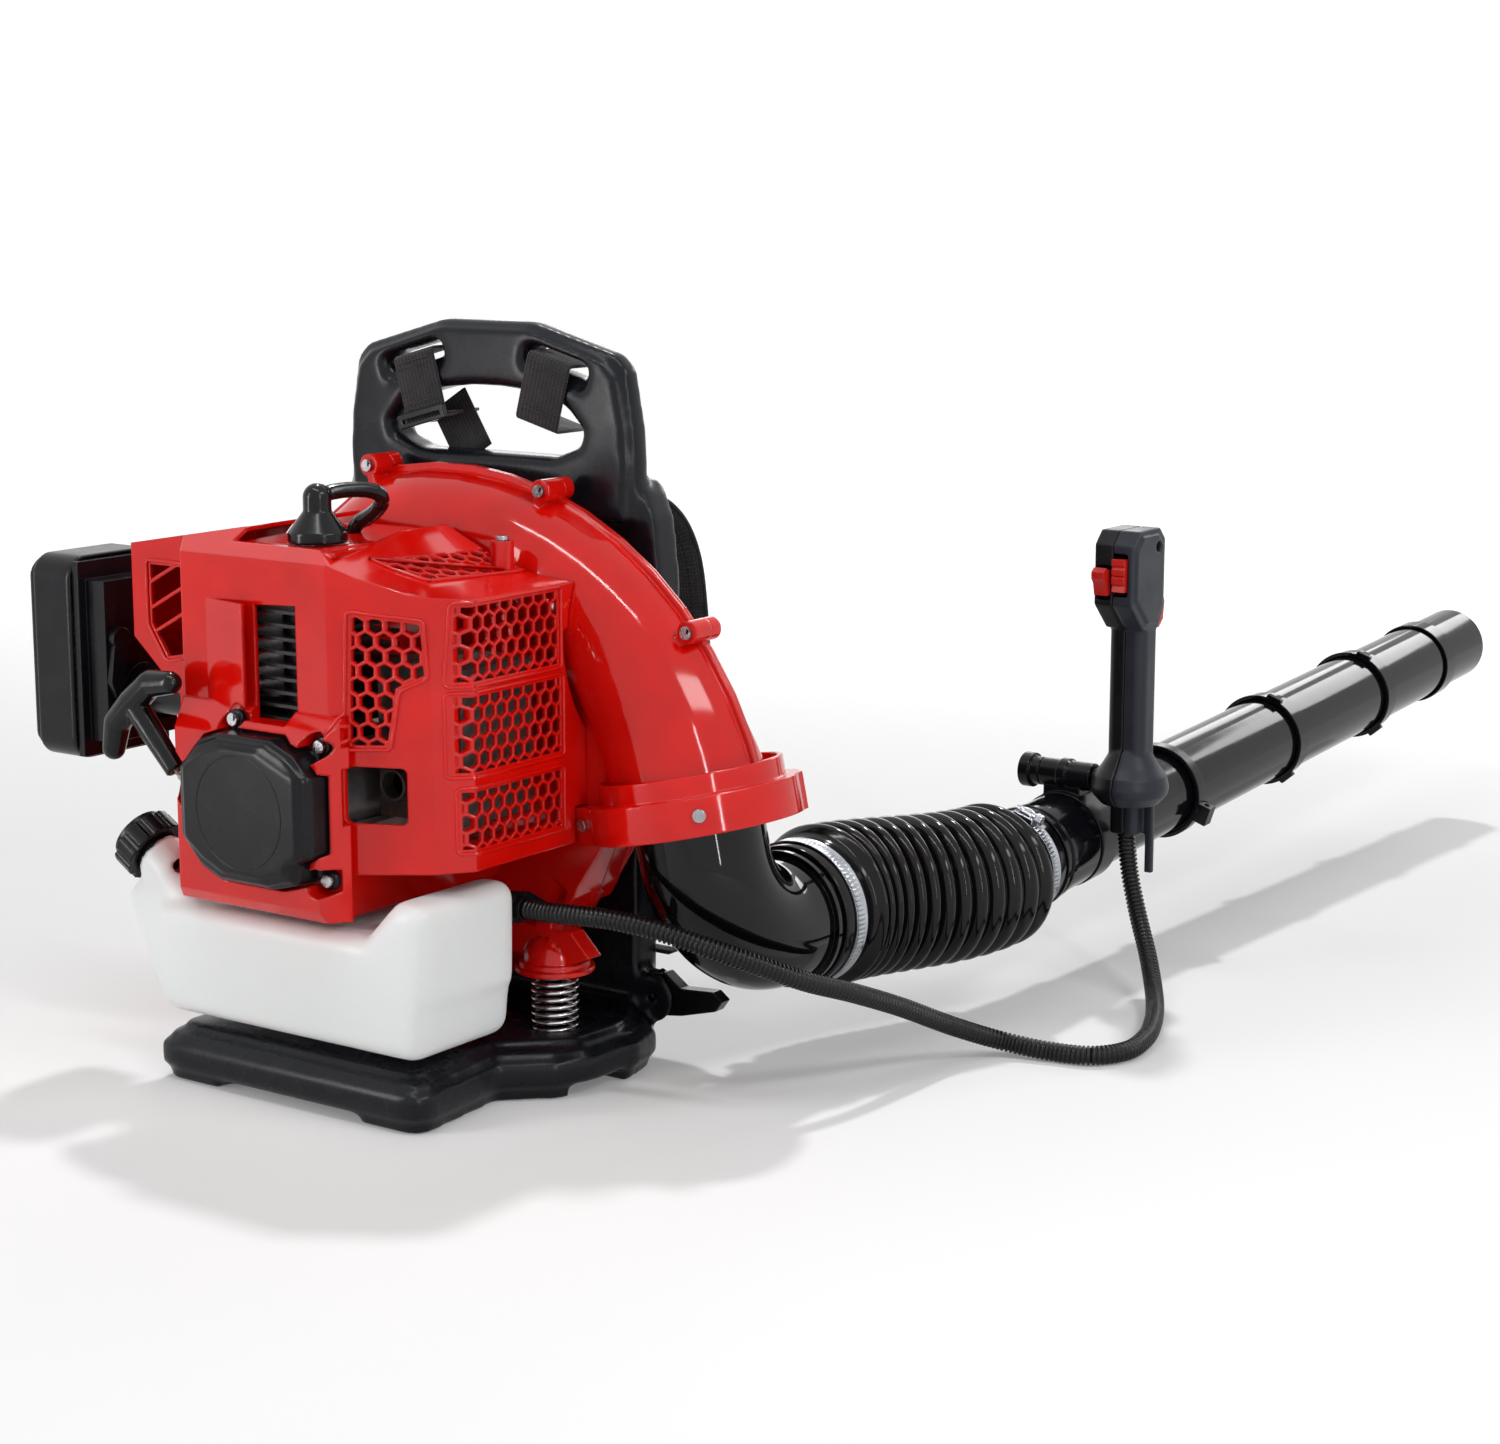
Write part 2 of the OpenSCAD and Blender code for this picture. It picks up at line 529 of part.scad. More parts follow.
module muffler() color("#4a4a4c") difference() {
    union() {
        translate([muffler_x0, cyl_y + 2, muffler_z[0]]) cube([72, 74, muffler_z[1] - muffler_z[0]]);
        translate([68, 0, 224]) rod_y(11, cyl_y - 8, cyl_y + 4);
        translate([fin_x, cyl_y + 14, 262]) cube([muffler_x0 - fin_x + cut, 20, 26]);
    }
    translate([muffler_x0 + 2, cyl_y + 4, muffler_z[0] + 2]) cube([68, 70, muffler_z[1] - muffler_z[0] - 4]);
    translate([68, 0, 224]) rod_y(9, cyl_y - 9, cyl_y + 6);
}
carb_z = 262;
filter_y = [-122, -34];
filter_z = [212, 357];
filter_x = [-257, -208];
carb_y = -78;
module carburetor() color("darkgray") difference() {
    union() {
        translate([-96, carb_y - 20, carb_z - 22]) cube([44, 40, 44]);
        translate([0, carb_y, carb_z]) rod_x(14, -53, -fin_x);
        translate([-86, carb_y - 8, carb_z + 20]) cube([24, 16, 12]);
    }
    translate([0, carb_y, carb_z]) rod_x(10, -100, -fin_x + cut);
}
base_x = filter_x[1];
base_d = 24;                        // depth of the filter base's box
choke_y = filter_y[0] + 20;
choke_z = 300;
module choke_lever() color("#151517") translate([0, choke_y, choke_z]) {
    rod_x(4, base_x + base_d - 10, base_x + base_d + gap);
    rod_x(8, base_x + base_d + gap, base_x + base_d + 6);
    slab_x(base_x + base_d + gap, base_x + base_d + 5)
        polygon([[-5, 6], [-10, -30], [-6, -42], [2, -42], [6, 4]]);
}
module air_filter_base() color("#202124") difference() {
    union() {
        translate([base_x, filter_y[0] + 3, filter_z[0] + 3])
            cube([6, filter_y[1] - filter_y[0] - 6, filter_z[1] - filter_z[0] - 6]);
        translate([base_x, filter_y[0] + 10, filter_z[0] + 14])
            cube([base_d, filter_y[1] - filter_y[0] - 22, filter_z[1] - filter_z[0] - 30]);
        translate([0, carb_y, carb_z]) rod_x(17, base_x + base_d - cut, -96);
    }
    translate([0, carb_y, carb_z]) rod_x(13, base_x - cut, -96 + cut);
    translate([0, choke_y, choke_z]) rod_x(4 + fit, base_x + base_d - 10, base_x + 2 * base_d);
    for (i = [0 : 3])
        translate([base_x + base_d - 5, filter_y[1] - 40, filter_z[0] + 24 + 26 * i]) cube([8, 22, 16]);
}
module air_filter_element() color("khaki") difference() {
    translate([base_x - 36, filter_y[0] + 12, filter_z[0] + 14])
        cube([35.6, filter_y[1] - filter_y[0] - 24, filter_z[1] - filter_z[0] - 28]);
    translate([0, carb_y, carb_z]) rod_x(22, base_x - 26, base_x);
    translate([0, carb_y, filter_z[1] - 34]) rod_x(4, filter_x[0], filter_x[1]);
}
// Rounded box, closed on the -X side; inset shrinks it all round
module filter_shell(inset) {
    w = filter_y[1] - filter_y[0] - 2 * inset;
    h = filter_z[1] - filter_z[0] - 2 * inset;
    translate([0, (filter_y[0] + filter_y[1]) / 2, (filter_z[0] + filter_z[1]) / 2]) {
        slab_x(filter_x[0] + inset + 12, filter_x[1] + (inset > 0 ? cut : 0)) round_rect(w, h, 16);
        slab_x(filter_x[0] + inset + 4, filter_x[1]) round_rect(w - 8, h - 8, 14);
        slab_x(filter_x[0] + inset, filter_x[1]) round_rect(w - 22, h - 22, 12);
    }
}
module air_filter_cover() color(black) difference() {
    filter_shell(0);
    filter_shell(wall);
    translate([0, carb_y, filter_z[1] - 34]) rod_x(3.2, filter_x[0] - cut, filter_x[1]);
}
module filter_cover_knob() color("#101012") translate([0, carb_y, filter_z[1] - 34]) {
    rod_x(12, filter_x[0] - 10, filter_x[0] - 0.3);
    rod_x(3, filter_x[0] - 2, filter_x[1] - gap);
}

// ---- engine cover ----------------------------------------------------------------------------
// Outlines of the cover drawn in by w, and run past its open rear and underside where w isn't zero
function past(w) = w > 0 ? cut : 0;
function plan_pts(w) = [[-155 + w, -112 + w], [-102 + w, -112 + w], [-84 + w, front_y + w],
    [47 - w / 2, front_y + w], [112 - w / 2, -108 + w], [side_x - w, -88 + w],
    [side_x - w, wall_y0 + past(w)], [-128 + w, wall_y0 + past(w)], [-155 + w, 6]];
function front_pts(w) = [[-112 + w, 198], [-98 + w, 172], [-86 + w, 136 - past(w)], [50 - w, 136 - past(w)],
    [56 - w, 168 - past(w)], [134, 172 - past(w)], [134, 351 - w], [97, 356 - w], [64, 366 - w],
    [40, 376 - w], [20, 384 - w], [-54, 388 - w], [-158, 370 - w], [-158, 308], [-112 + w, 268]];
function side_pts(w) = [[-140 + w, 130], [-140 + w, 370 - w], [-104, 388 - w], [wall_y0 + past(w), 392 - w],
    [wall_y0 + past(w), 130]];
module cover_solid(w) intersection() {
    translate([0, 0, 100]) linear_extrude(320) polygon(plan_pts(w));
    slab_y(-160, 60) polygon(front_pts(w));
    slab_x(-170, 140) polygon(side_pts(w));
}
// Collar of the cover round the starter
module starter_pod() intersection() {
    translate([0, 0, 130]) linear_extrude(160)
        polygon([[-70, starter_y - 18], [58, starter_y - 18], [64, front_y + 1], [-85, front_y + 1]]);
    slab_x(-100, 100) polygon([[front_y + 1, 138], [starter_y - 12, 140], [starter_y - 18, 148],
        [starter_y - 18, 258], [front_y - 2, 274], [front_y + 1, 274]]);
}
module side_grilles() slab_x(side_x - 3 * wall, side_x + cut) {
    intersection() {
        translate([-100, 296]) honeycomb(110, 60);
        polygon([[-99, 298], [-96, 347], [0, 347], [0, 298]]);
    }
    intersection() {
        translate([-100, 236]) honeycomb(110, 60);
        polygon([[-99, 238], [-99, 288], [2, 288], [2, 238]]);
    }
    intersection() {
        translate([-98, 184]) honeycomb(110, 50);
        polygon([[-94, 187], [-94, 225], [2, 225], [2, 187]]);
    }
}
module engine_cover() color(red) difference() {
    union() {
        difference() {
            cover_solid(0);
            cover_solid(wall);
        }
        translate([0, 0, boot_z - 4]) linear_extrude(wall)
            polygon([[-50, -122], [44, -122], [24, -30], [24, 20], [-64, 20]]);
        translate([0, 0, 265]) linear_extrude(78)
            polygon([[-66, front_y + 1], [-19, front_y - 10], [-19, front_y - 7], [-60, front_y + 1]]);
        starter_pod();
        translate([84, 0, 350]) cylinder(r = 8, h = 28);
    }
    side_grilles();
    translate([scroll_c[0], split_y, scroll_c[1]]) rotate([90, 0, 0]) {
        rotate_extrude($fn = 120) translate([duct_r - 48, 0]) circle(49);
        rotate_extrude(angle = 52, $fn = 120) translate([duct_r - 52.5, 0]) circle(54);
    }
    translate([0, split_y, crank_z]) rotate([90, 0, 0]) rotate([0, 0, 100])
        rotate_extrude(angle = 80, $fn = 120) translate([162, 0]) circle(47);
    translate([side_x - 2 * wall, 17, 160]) cube([20, 20, 37]);
    at_rope() translate([0, 0, 16]) cylinder(r = 11, h = 60);
    translate([lead_end[0], lead_end[1], boot_z - 12]) cylinder(r = 8, h = 14);
    intersection() {
        translate([60, 0, 254]) slab_y(-140, -100) honeycomb(56, 90);
        slab_y(-140, -90) polygon([[60, 255], [63, 340], [106, 336], [108, 303], [90, 294], [84, 256]]);
    }
    slab_y(-140, -90) translate([76, 222]) round_rect(40, 38, 4);
    slab_y(-150, -120) polygon([[-17, 266], [-17, 342], [20, 344], [20, 266]]);
    translate([0, 0, boot_z]) linear_extrude(40)
        polygon([[-50, -120], [42, -120], [22, -32], [22, 18], [-60, 18]]);
    translate([0, cyl_y, boot_z - 10]) cylinder(r = 13, h = 30);
    translate([0, front_y, crank_z]) rotate([90, 0, 0]) cylinder(r = 44, h = 30, center = true);
    at_crank() slab_y(starter_y - 40, starter_y) polygon(starter_outline(-2));
    at_crank() for (p = ear_spots) translate([p[0], 0, p[1]]) rod_y(ear_r + 3, starter_y - 40, starter_y);
    intersection() {
        translate([50, -90, 330]) linear_extrude(60) honeycomb(60, 110);
        translate([0, 0, 330]) linear_extrude(60) polygon([[50, -90], [84, -78], [92, 10], [58, 16]]);
    }
    translate([-170, carb_y - 26, carb_z - 28]) cube([64, 52, 50]);
    difference() {
        slab_y(-120, -96) polygon([[-137, 357], [-108, 357], [-108, 297], [-122, 294], [-137, 316]]);
        for (z = [306, 324, 342]) translate([-140, -120, z]) rotate([0, -28, 0]) cube([40, 40, 2.4]);
    }
}

// ---- starter ---------------------------------------------------------------------------------
function starter_outline(w) = let (x = starter_w / 2 - w, z = starter_h / 2 - w)
    [[-x, -22], [-x, 25], [-x + 17, z - 6], [-x + 34, z], [x - 34, z], [x - 15, z - 8], [x, 28], [x, -24],
        [x - 10, -30], [x - 12, -z + 6], [x - 34, -z], [-x + 34, -z], [-x + 16, -z + 8]];
ear_spots = [[-26, 56], [51, 46], [55, -43]];
ear_r = 7;
// Web from a screw ear at p to the housing
function ear_web(p) = let (u = unit(p), v = [-u[1], u[0]])
    [p + 4 * v, p - 4 * v, p - 4 * v - 2 * ear_r * u, p + 4 * v - 2 * ear_r * u];
rope_tilt = 42;
rope_mid = starter_y - 16;
rope_from = [-44, rope_mid, -14];
module at_rope() at_crank() translate(rope_from) rotate([0, -rope_tilt, 0]) children();
module starter_housing() color(black) at_crank() difference() {
    union() {
        slab_y(starter_y - starter_d + 6, starter_y) polygon(starter_outline(0));
        slab_y(starter_y - starter_d + 2, starter_y) polygon(starter_outline(3));
        slab_y(starter_y - starter_d, starter_y) polygon(starter_outline(8));
        for (p = ear_spots) {
            translate([p[0], 0, p[1]]) rod_y(ear_r, starter_y - 6, starter_y);
            slab_y(starter_y - 6, starter_y) polygon(ear_web(p));
        }
    }
    difference() {
        slab_y(starter_y - starter_d + wall, starter_y + cut) polygon(starter_outline(11));
        rod_y(5, starter_y - starter_d, rope_mid + 12);
    }
    translate(rope_from) rotate([0, -rope_tilt, 0]) cylinder(r = rope_r + 1, h = 60, center = true);
    for (p = ear_spots) translate([p[0], 0, p[1]]) rod_y(2.5, starter_y - 8, starter_y + cut);
}
reel_r = 30;
module starter_reel() color("#c8c8c0") at_crank() difference() {
    union() {
        rod_y(reel_r, rope_mid - 10, rope_mid - 7);
        rod_y(reel_r - 6, rope_mid - 8, rope_mid + 8);
        rod_y(reel_r, rope_mid + 7, rope_mid + 10);
    }
    rod_y(5 + fit, rope_mid - 20, rope_mid + 20);
}
grip_far = 42;
grip_t = 100;
rope_s0 = 4;                        // corner where the rope turns off to the reel
rope_in = [rope_from[0] - rope_s0 * sin(rope_tilt), rope_from[2] + rope_s0 * cos(rope_tilt)];
wound_r = reel_r - 6 + rope_r + 0.2;
rope_turn = asin(wound_r / norm(rope_in)) - atan2(-rope_in[1], -rope_in[0]);
rope_run = sqrt(norm(rope_in) * norm(rope_in) - wound_r * wound_r);
module starter_rope() color("#e8e4da") {
    at_rope() translate([0, 0, rope_s0]) cylinder(r = rope_r, h = grip_far + 5 - rope_s0);
    at_crank() translate([rope_in[0], rope_mid, rope_in[1]]) {
        sphere(rope_r + 0.2);
        rotate([0, 90 + rope_turn, 0]) cylinder(r = rope_r, h = rope_run);
    }
}
module starter_grip() color("#161618") at_rope() {
    difference() {
        hull() {
            translate([0, 0, grip_far]) cylinder(r = 7, h = 2, $fn = 16);
            translate([0, 0, grip_t - 4]) cylinder(r = 9, h = 2, $fn = 16);
        }
        translate([0, 0, grip_far - cut]) cylinder(r = rope_r + 0.2, h = 6);
    }
    for (s = [-1, 1]) {
        hull() {
            translate([0, 0, grip_t]) sphere(10, $fn = 16);
            translate([s * 22, 0, grip_t - 1]) sphere(9.5, $fn = 16);
        }
        hull() {
            translate([s * 22, 0, grip_t - 1]) sphere(9.5, $fn = 16);
            translate([s * 38, 0, grip_t - 12]) sphere(8, $fn = 16);
        }
    }
}

// ---- fan case --------------------------------------------------------------------------------
// Stations along the scroll: centre X, centre Z, direction, back radius, duct radius
function station(k) = k <= 12
    ? let (t = duct_t0 + (duct_t1 - duct_t0) * k / 12,
        a = outlet_r + (crown_r - outlet_r) * min(1, (t - duct_t0) / 70))
        [scroll_c[0], scroll_c[1], t, duct_r, a]
    : let (f = (k - 12) / 22, t = 106 + (scroll_t1 - 106) * f)
        [0, crank_z, t, scroll_r0 + (scroll_r1 - scroll_r0) * f, crown_r - 16 * f];
function near_outlet(t) = max(0, min(1, (50 - t) / 34));
// Depth of the rear half behind the split plane
function rear_depth(k) = let (s = station(k)) 20 + (k <= 12 ? pow(near_outlet(s[2]), 2) * (s[4] - 20) : 0);
function front_depth(k) = let (s = station(k)) max(s[4], split_y - wall_y0);
function half_section(k, w, side) = let (s = station(k), r = s[3] - w, a = s[4] - w,
    d = (side < 0 ? front_depth(k) : rear_depth(k)) - w,
    stop = side < 0 ? split_y - wall_y0 : wall_y1 - split_y,
    open = k > 12 ? 1 : 1 - near_outlet(s[2]),
    last = 180 - open * asin(min(1, (stop - w) / d)))
    [for (j = [0 : 9]) let (q = last * j / 9) [r - a + a * cos(q), split_y + side * d * sin(q)]];
function section_ring(k, side) = let (s = station(k), outer = half_section(k, 0, side),
    inner = half_section(k, wall, side),
    flange = [[s[3] + lip, split_y], [s[3] + lip, split_y + side * lip_t], [s[3], split_y + side * lip_t]],
    flat = concat([[s[3] - wall, split_y]], flange, [for (j = [1 : 9]) outer[j]],
        [for (j = [9 : -1 : 1]) inner[j]]))
    [for (p = flat) [s[0] + p[0] * cos(s[2]), p[1], s[1] + p[0] * sin(s[2])]];
// Where the flat wall meets the scroll or the duct at station k, 1 mm into their wall
function disc_edge(k, side) = let (s = station(k), a = s[4] - wall / 2,
    stop = (side < 0 ? split_y - wall_y0 : wall_y1 - split_y) - wall / 2,
    d = (side < 0 ? front_depth(k) : rear_depth(k)) - wall / 2,
    q = 180 - asin(min(1, stop / d)), r = s[3] - s[4] + a * cos(q) + 1)
    [s[0] + r * cos(s[2]), s[1] + r * sin(s[2])];
boss_angles = [103, 70.7, 39.5];
boss_r = duct_r + 7;
module case_bosses(y0, y1) for (t = boss_angles)
    translate([scroll_c[0] + boss_r * cos(t), 0, scroll_c[1] + boss_r * sin(t)]) {
        rod_y(8, y0, y1);
        rotate([0, -t, 0]) translate([-14, y0, -3]) cube([14, y1 - y0, 6]);
    }
// Wall between the scroll's tongue and the duct
tongue_at = [scroll_r1 * cos(scroll_t1), crank_z + scroll_r1 * sin(scroll_t1)];
tongue_end = [146, outlet[2] + 18];
tongue_root = tongue_at - [6, 9];
module tongue(y0, y1) slab_y(y0, y1)
    polygon([tongue_root - [2, 0], tongue_root + [2, 0], tongue_at + [2.5, 1], tongue_end + [6, 0],
        tongue_end - [1, 0], tongue_at - [5, 0]]);
module case_half(side) {
    skin([for (k = [0 : 34]) side < 0 ? section_ring(k, side)
        : [for (j = [len(section_ring(k, side)) - 1 : -1 : 0]) section_ring(k, side)[j]]]);
}
module disc_outline(side)
    polygon(concat([for (k = [0 : 34]) disc_edge(k, side)], [tongue_at + [1, 1]]));
module fan_case_front() color(red) difference() {
    union() {
        case_half(-1);
        slab_y(wall_y0, wall_y0 + wall) disc_outline(-1);
        case_bosses(split_y - 18, split_y);
        tongue(wall_y0, split_y);
    }
    at_crank() rod_y(main_r + 2, wall_y0 - cut, wall_y0 + 2 * wall);
}
module fan_case_rear() color(red) difference() {
    union() {
        case_half(1);
        slab_y(wall_y1 - wall + 0.4, wall_y1 - 0.4) disc_outline(1);
        case_bosses(split_y, split_y + 10);
        tongue(split_y, wall_y1 - 1);
    }
    at_crank() rod_y(eye_r, wall_y1 - 2 * wall, wall_y1 + cut);
}
// Outline of the collar's flange: round, with one sharp corner and an ear
module flange_outline() {
    circle(collar_r);
    polygon([[0, 60], [45, 60], [63, 41], [63, -20], [0, -40]]);
    polygon([[-collar_r + 20, -46], [-collar_r - 4, -40], [-collar_r - 10, -24], [-collar_r + 10, 20]]);
}
module outlet_collar() color(red) difference() {
    at_outlet() difference() {
        union() {
            translate([0, 0, collar_z0]) cylinder(r = outlet_r + 8, h = collar_z1 - collar_z0);
            translate([0, 0, collar_z0]) linear_extrude(collar_flange) flange_outline();
        }
        translate([0, 0, collar_z0 + 10]) cylinder(r = outlet_r + lip + gap, h = 60);
        translate([0, 0, collar_z0 + 4]) cylinder(r = elbow_r + 5 + gap, h = 8);
        translate([0, 0, collar_z0 - cut]) cylinder(r = elbow_r + fit, h = 30);
    }
    slab_y(wall_y0 - gap, wall_y1 + gap)
        polygon([[100, tongue_root[1]], tongue_at + [4, 0], disc_edge(0, -1) + [4, -4],
            disc_edge(0, -1) + [4, 20], tongue_end + [8, 40], [100, 240]]);
}

// ---- tank ------------------------------------------------------------------------------------
tank_r = 12;                        // rounding of the tank
module tank_hull(points, w) hull() for (p = points) translate(p) sphere(tank_r - w, $fn = 16);
module tank_solid(w) {
    y0 = -137 + tank_r;
    y1 = tank_back - tank_r;
    z0 = tank_z + tank_r;
    z1 = tank_top - tank_r;
    tank_hull([[-108, y0, z0], [106, y0, z0], [106, y1, z0], [-108, y1, z0], [-112, y0, z1], [110, y0, z1],
        [112, y1, z1], [-112, y1, z1]], w);
    tank_hull([[-108, y0, z0], [-108, y1, z0], [-146, -118, 122], [-146, -94, 122], [-122, -118, 142],
        [-122, -94, 142], [-90, -118, z1], [-90, -94, z1]], w);
    z2 = tank_shoulder - tank_r;
    tank_hull([[76, y0, z1], [76, y1, z1], [103, y0, z2], [103, y1, z2], [112, y0, z2], [113, y1, z2],
        [110, y0, 90], [112, y1, 90]], w);
}
module at_cap() translate(cap_at) rotate([0, -cap_tilt, 0]) children();
module fuel_tank() color("ivory") difference() {
    union() {
        tank_solid(0);
        at_cap() translate([0, 0, -24]) cylinder(r = cap_r - 4, h = 24);
    }
    tank_solid(tank_wall);
    at_cap() translate([0, 0, -30]) cylinder(r = cap_r - 7, h = 40);
}
module fuel_cap() color("#131315") at_cap() {
    difference() {
        union() {
            translate([0, 0, 0.6]) cylinder(r = cap_r + 2, h = 17);
            translate([0, 0, 17]) cylinder(r = cap_r - 2, h = 5);
        }
        for (i = [0 : 9]) rotate(36 * i) translate([cap_r + 4, 0, 0]) cylinder(r = 4, h = 30, $fn = 24);
    }
    translate([0, 0, -12]) cylinder(r = cap_r - 7 - 0.3, h = 14);
}
line_route = [[-70, -70, tank_top], [-70, -68, 142], [-72, -64, 160], [-76, -60, 180], [-78, -60, 205],
    [-78, -66, 226], [-78, -74, 240]];
module fuel_line() color("#3a3a28") round_tube(line_route, 3, 14, 8, [1, 0.2, 0]);

module screw_y() {
    rod_y(screw_head_r, -3, 0);
    rod_y(2.5 - fit, 0, 5.8);
}
module body_screws() color(steel) {
    at_crank() for (p = ear_spots) translate([p[0], starter_y - 6, p[1]]) screw_y();
    for (t = boss_angles)
        translate([scroll_c[0] + boss_r * cos(t), split_y - 18, scroll_c[1] + boss_r * sin(t)])
            rod_y(screw_head_r, -3, 0);
    at_outlet() for (q = [[-65, -43, -104], [collar_r * cos(52), -collar_r * sin(52), -52]])
        translate([q[0], q[1], collar_z0 + 14]) rotate(q[2]) rotate([0, 90, 0])
            cylinder(r = screw_head_r, h = 3);
    translate([84, 0, 378]) cylinder(r = screw_head_r, h = 3);
}

// ---- elbow and bellows -----------------------------------------------------------------------
module elbow() color("#0e0e10") at_outlet() {
    difference() {
        union() {
            translate([0, 0, -elbow_drop]) cylinder(r = elbow_r, h = elbow_drop + 7);
            translate([0, 0, collar_z0 + 4.3]) cylinder(r = elbow_r + 5, h = 5);
        }
        translate([0, 0, -elbow_drop - cut]) cylinder(r = elbow_r - elbow_wall, h = 2 * elbow_drop);
    }
    translate([0, elbow_bend, -elbow_drop]) rotate([-90, 0, -90]) rotate_extrude(angle = 90)
        translate([elbow_bend, 0]) difference() {
            circle(elbow_r);
            circle(elbow_r - elbow_wall);
        }
    translate([0, 0, -axis_drop]) ring_y(elbow_r, elbow_r - elbow_wall, elbow_bend, elbow_bend + elbow_end);
    translate([0, 0, -axis_drop]) ring_y(elbow_r + 4, elbow_r - 1, elbow_bend + 14, elbow_bend + 18);
}
band_y = cuff_y0 + 16;
module worm_clamp(r, w, turn) {
    ring_y(r + 1.6, r, -w / 2, w / 2);
    rotate([0, turn, 0]) translate([0, 0, r + 1]) {
        translate([-9, -w / 2 - 1, 0]) cube([18, w + 2, 9]);
        translate([0, 0, 5]) rod_x(4, -16, 9);
    }
}
cuff_r = elbow_r + 6;
module hose_clamp_large() color(steel) translate([hose_x, band_y, hose_z]) worm_clamp(cuff_r + gap, 13, 110);
bell_sides = 24;
rear_cuff = 40;
// Centre line of the bellows: elbow cuff, S-curve of ribs, swivel cuff
tube_dir = [0, cos(tube_rise), sin(tube_rise)];
bell_a = [hose_x, cuff_y1, hose_z];
bell_d = [tube_x, tube_y, tube_z];
bell_b = bell_a + [0, 60, -2];
bell_c = bell_d - 60 * tube_dir;
function bezier(f) = pow(1 - f, 3) * bell_a + 3 * pow(1 - f, 2) * f * bell_b + 3 * (1 - f) * f * f * bell_c
    + pow(f, 3) * bell_d;
function bezier_dir(f) = unit((1 - f) * (1 - f) * (bell_b - bell_a) + 2 * (1 - f) * f * (bell_c - bell_b)
    + f * f * (bell_d - bell_c));
front_r = elbow_r + gap;
rear_r = pipe_r + gap;
rear_cuff_r = rear_r + 5;
// Stations: centre, direction, outer radius, bore radius
bell_stations = concat(
    [[[hose_x, cuff_y0, hose_z], [0, 1, 0], cuff_r, front_r],
        [bell_a - [0, 1, 0], [0, 1, 0], cuff_r, front_r]],
    [for (i = [0 : 2 * rib_count]) let (f = (i + 0.5) / (2 * rib_count + 1), peak = i % 2 == 0)
        [bezier(f), bezier_dir(f), rib_r - 4 * f - (peak ? 0 : 7),
            (front_r + (rear_r - front_r) * f) + (peak ? 7 : 0)]],
    [[bell_d, tube_dir, rear_cuff_r, rear_r],
        [bell_d + rear_cuff * tube_dir, tube_dir, rear_cuff_r, rear_r]]);
module bellows() color("#101012") hollow_skin(
    [for (s = bell_stations) ring_at(s[0], s[1], s[2], bell_sides, [0, 0, 1])],
    [for (s = bell_stations) ring_at(s[0], s[1], s[3], bell_sides, [0, 0, 1])]);

// ---- blow tube: positions along the tube from the start of the swivel pipe ---------------------
socket = 18;
small_r = pipe_r - 1;
s_a = 262;
s_b = s_a + pipe_a_len - socket + 4;
s_c = s_b + pipe_b_len - socket;
s_n = s_c + pipe_c_len - socket;
s_end = s_n + nozzle_len;
module hose_clamp_small() color(steel) at_tube() translate([0, 22, 0]) worm_clamp(rear_cuff_r + gap, 11, -20);
module swivel_pipe() color("#17181a") at_tube() difference() {
    union() {
        rod_y(pipe_r, 0, s_a - 20);
        rod_y(small_r, 0, s_a + socket + 4);
        rod_y(rear_cuff_r + 0.5, rear_cuff + 2, rear_cuff + 7);
        rod_y(pipe_r + 4.5, rear_cuff + 14, rear_cuff + 20);
        rod_y(pipe_r + 3, rear_cuff + 7, handle_s - 14);
    }
    rod_y(small_r - pipe_wall, -cut, s_end);
}
module pipe_clamp() color("#121214") at_tube() {
    ring_y(pipe_r + 5, pipe_r + 1.6, s_a - 2, s_a + 9);
    rotate([0, 110, 0]) translate([0, s_a - 2, 0]) difference() {
        translate([-8, 0, pipe_r + 3]) cube([16, 11, 12]);
        translate([0, 5.5, pipe_r + 9]) rod_x(2.2, -10, 10);
    }
}
// One blow pipe: a socket that takes the pipe before it, then the pipe itself
module blow_pipe(s0, s1, r_in, r_body) {
    r_sock = r_in + pipe_wall;
    difference() {
        union() {
            rod_y(r_sock, s0, s0 + socket + 3);
            rod_y(r_body, s0, s1);
            rod_y(r_sock + 1.6, s0, s0 + 3);
            for (a = [20, 140, 260]) rotate([0, a, 0]) translate([-7, s0, r_sock - 1]) cube([14, 5, 5]);
        }
        rod_y(r_in, s0 - cut, s0 + socket + gap);
        rod_y(r_body - pipe_wall, s0 - cut, s1 + cut);
    }
}
ra = small_r + gap + pipe_wall;
module blow_pipe_rear() color("#1c1d20") at_tube() difference() {
    rod_y(ra, s_a, s_a + pipe_a_len);
    rod_y(small_r + gap, s_a - cut, s_a + socket + 4);
    rod_y(ra - pipe_wall, s_a, s_a + pipe_a_len + cut);
}
rb = ra;
module blow_pipe_middle() color("#1c1d20") at_tube() blow_pipe(s_b, s_b + pipe_b_len, ra + gap, rb);
rc = rb - 1;
module blow_pipe_front() color("#1c1d20") at_tube() blow_pipe(s_c, s_c + pipe_c_len, rb + gap, rc);
rn = rc - 0.8;
module nozzle() color("#1c1d20") at_tube() difference() {
    union() {
        rod_y(rc + gap + pipe_wall, s_n, s_n + socket + 3);
        rod_y(rn, s_n, s_end);
    }
    rod_y(rc + gap, s_n - cut, s_n + socket + gap);
    rod_y(rn - pipe_wall, s_n - cut, s_end + cut);
}

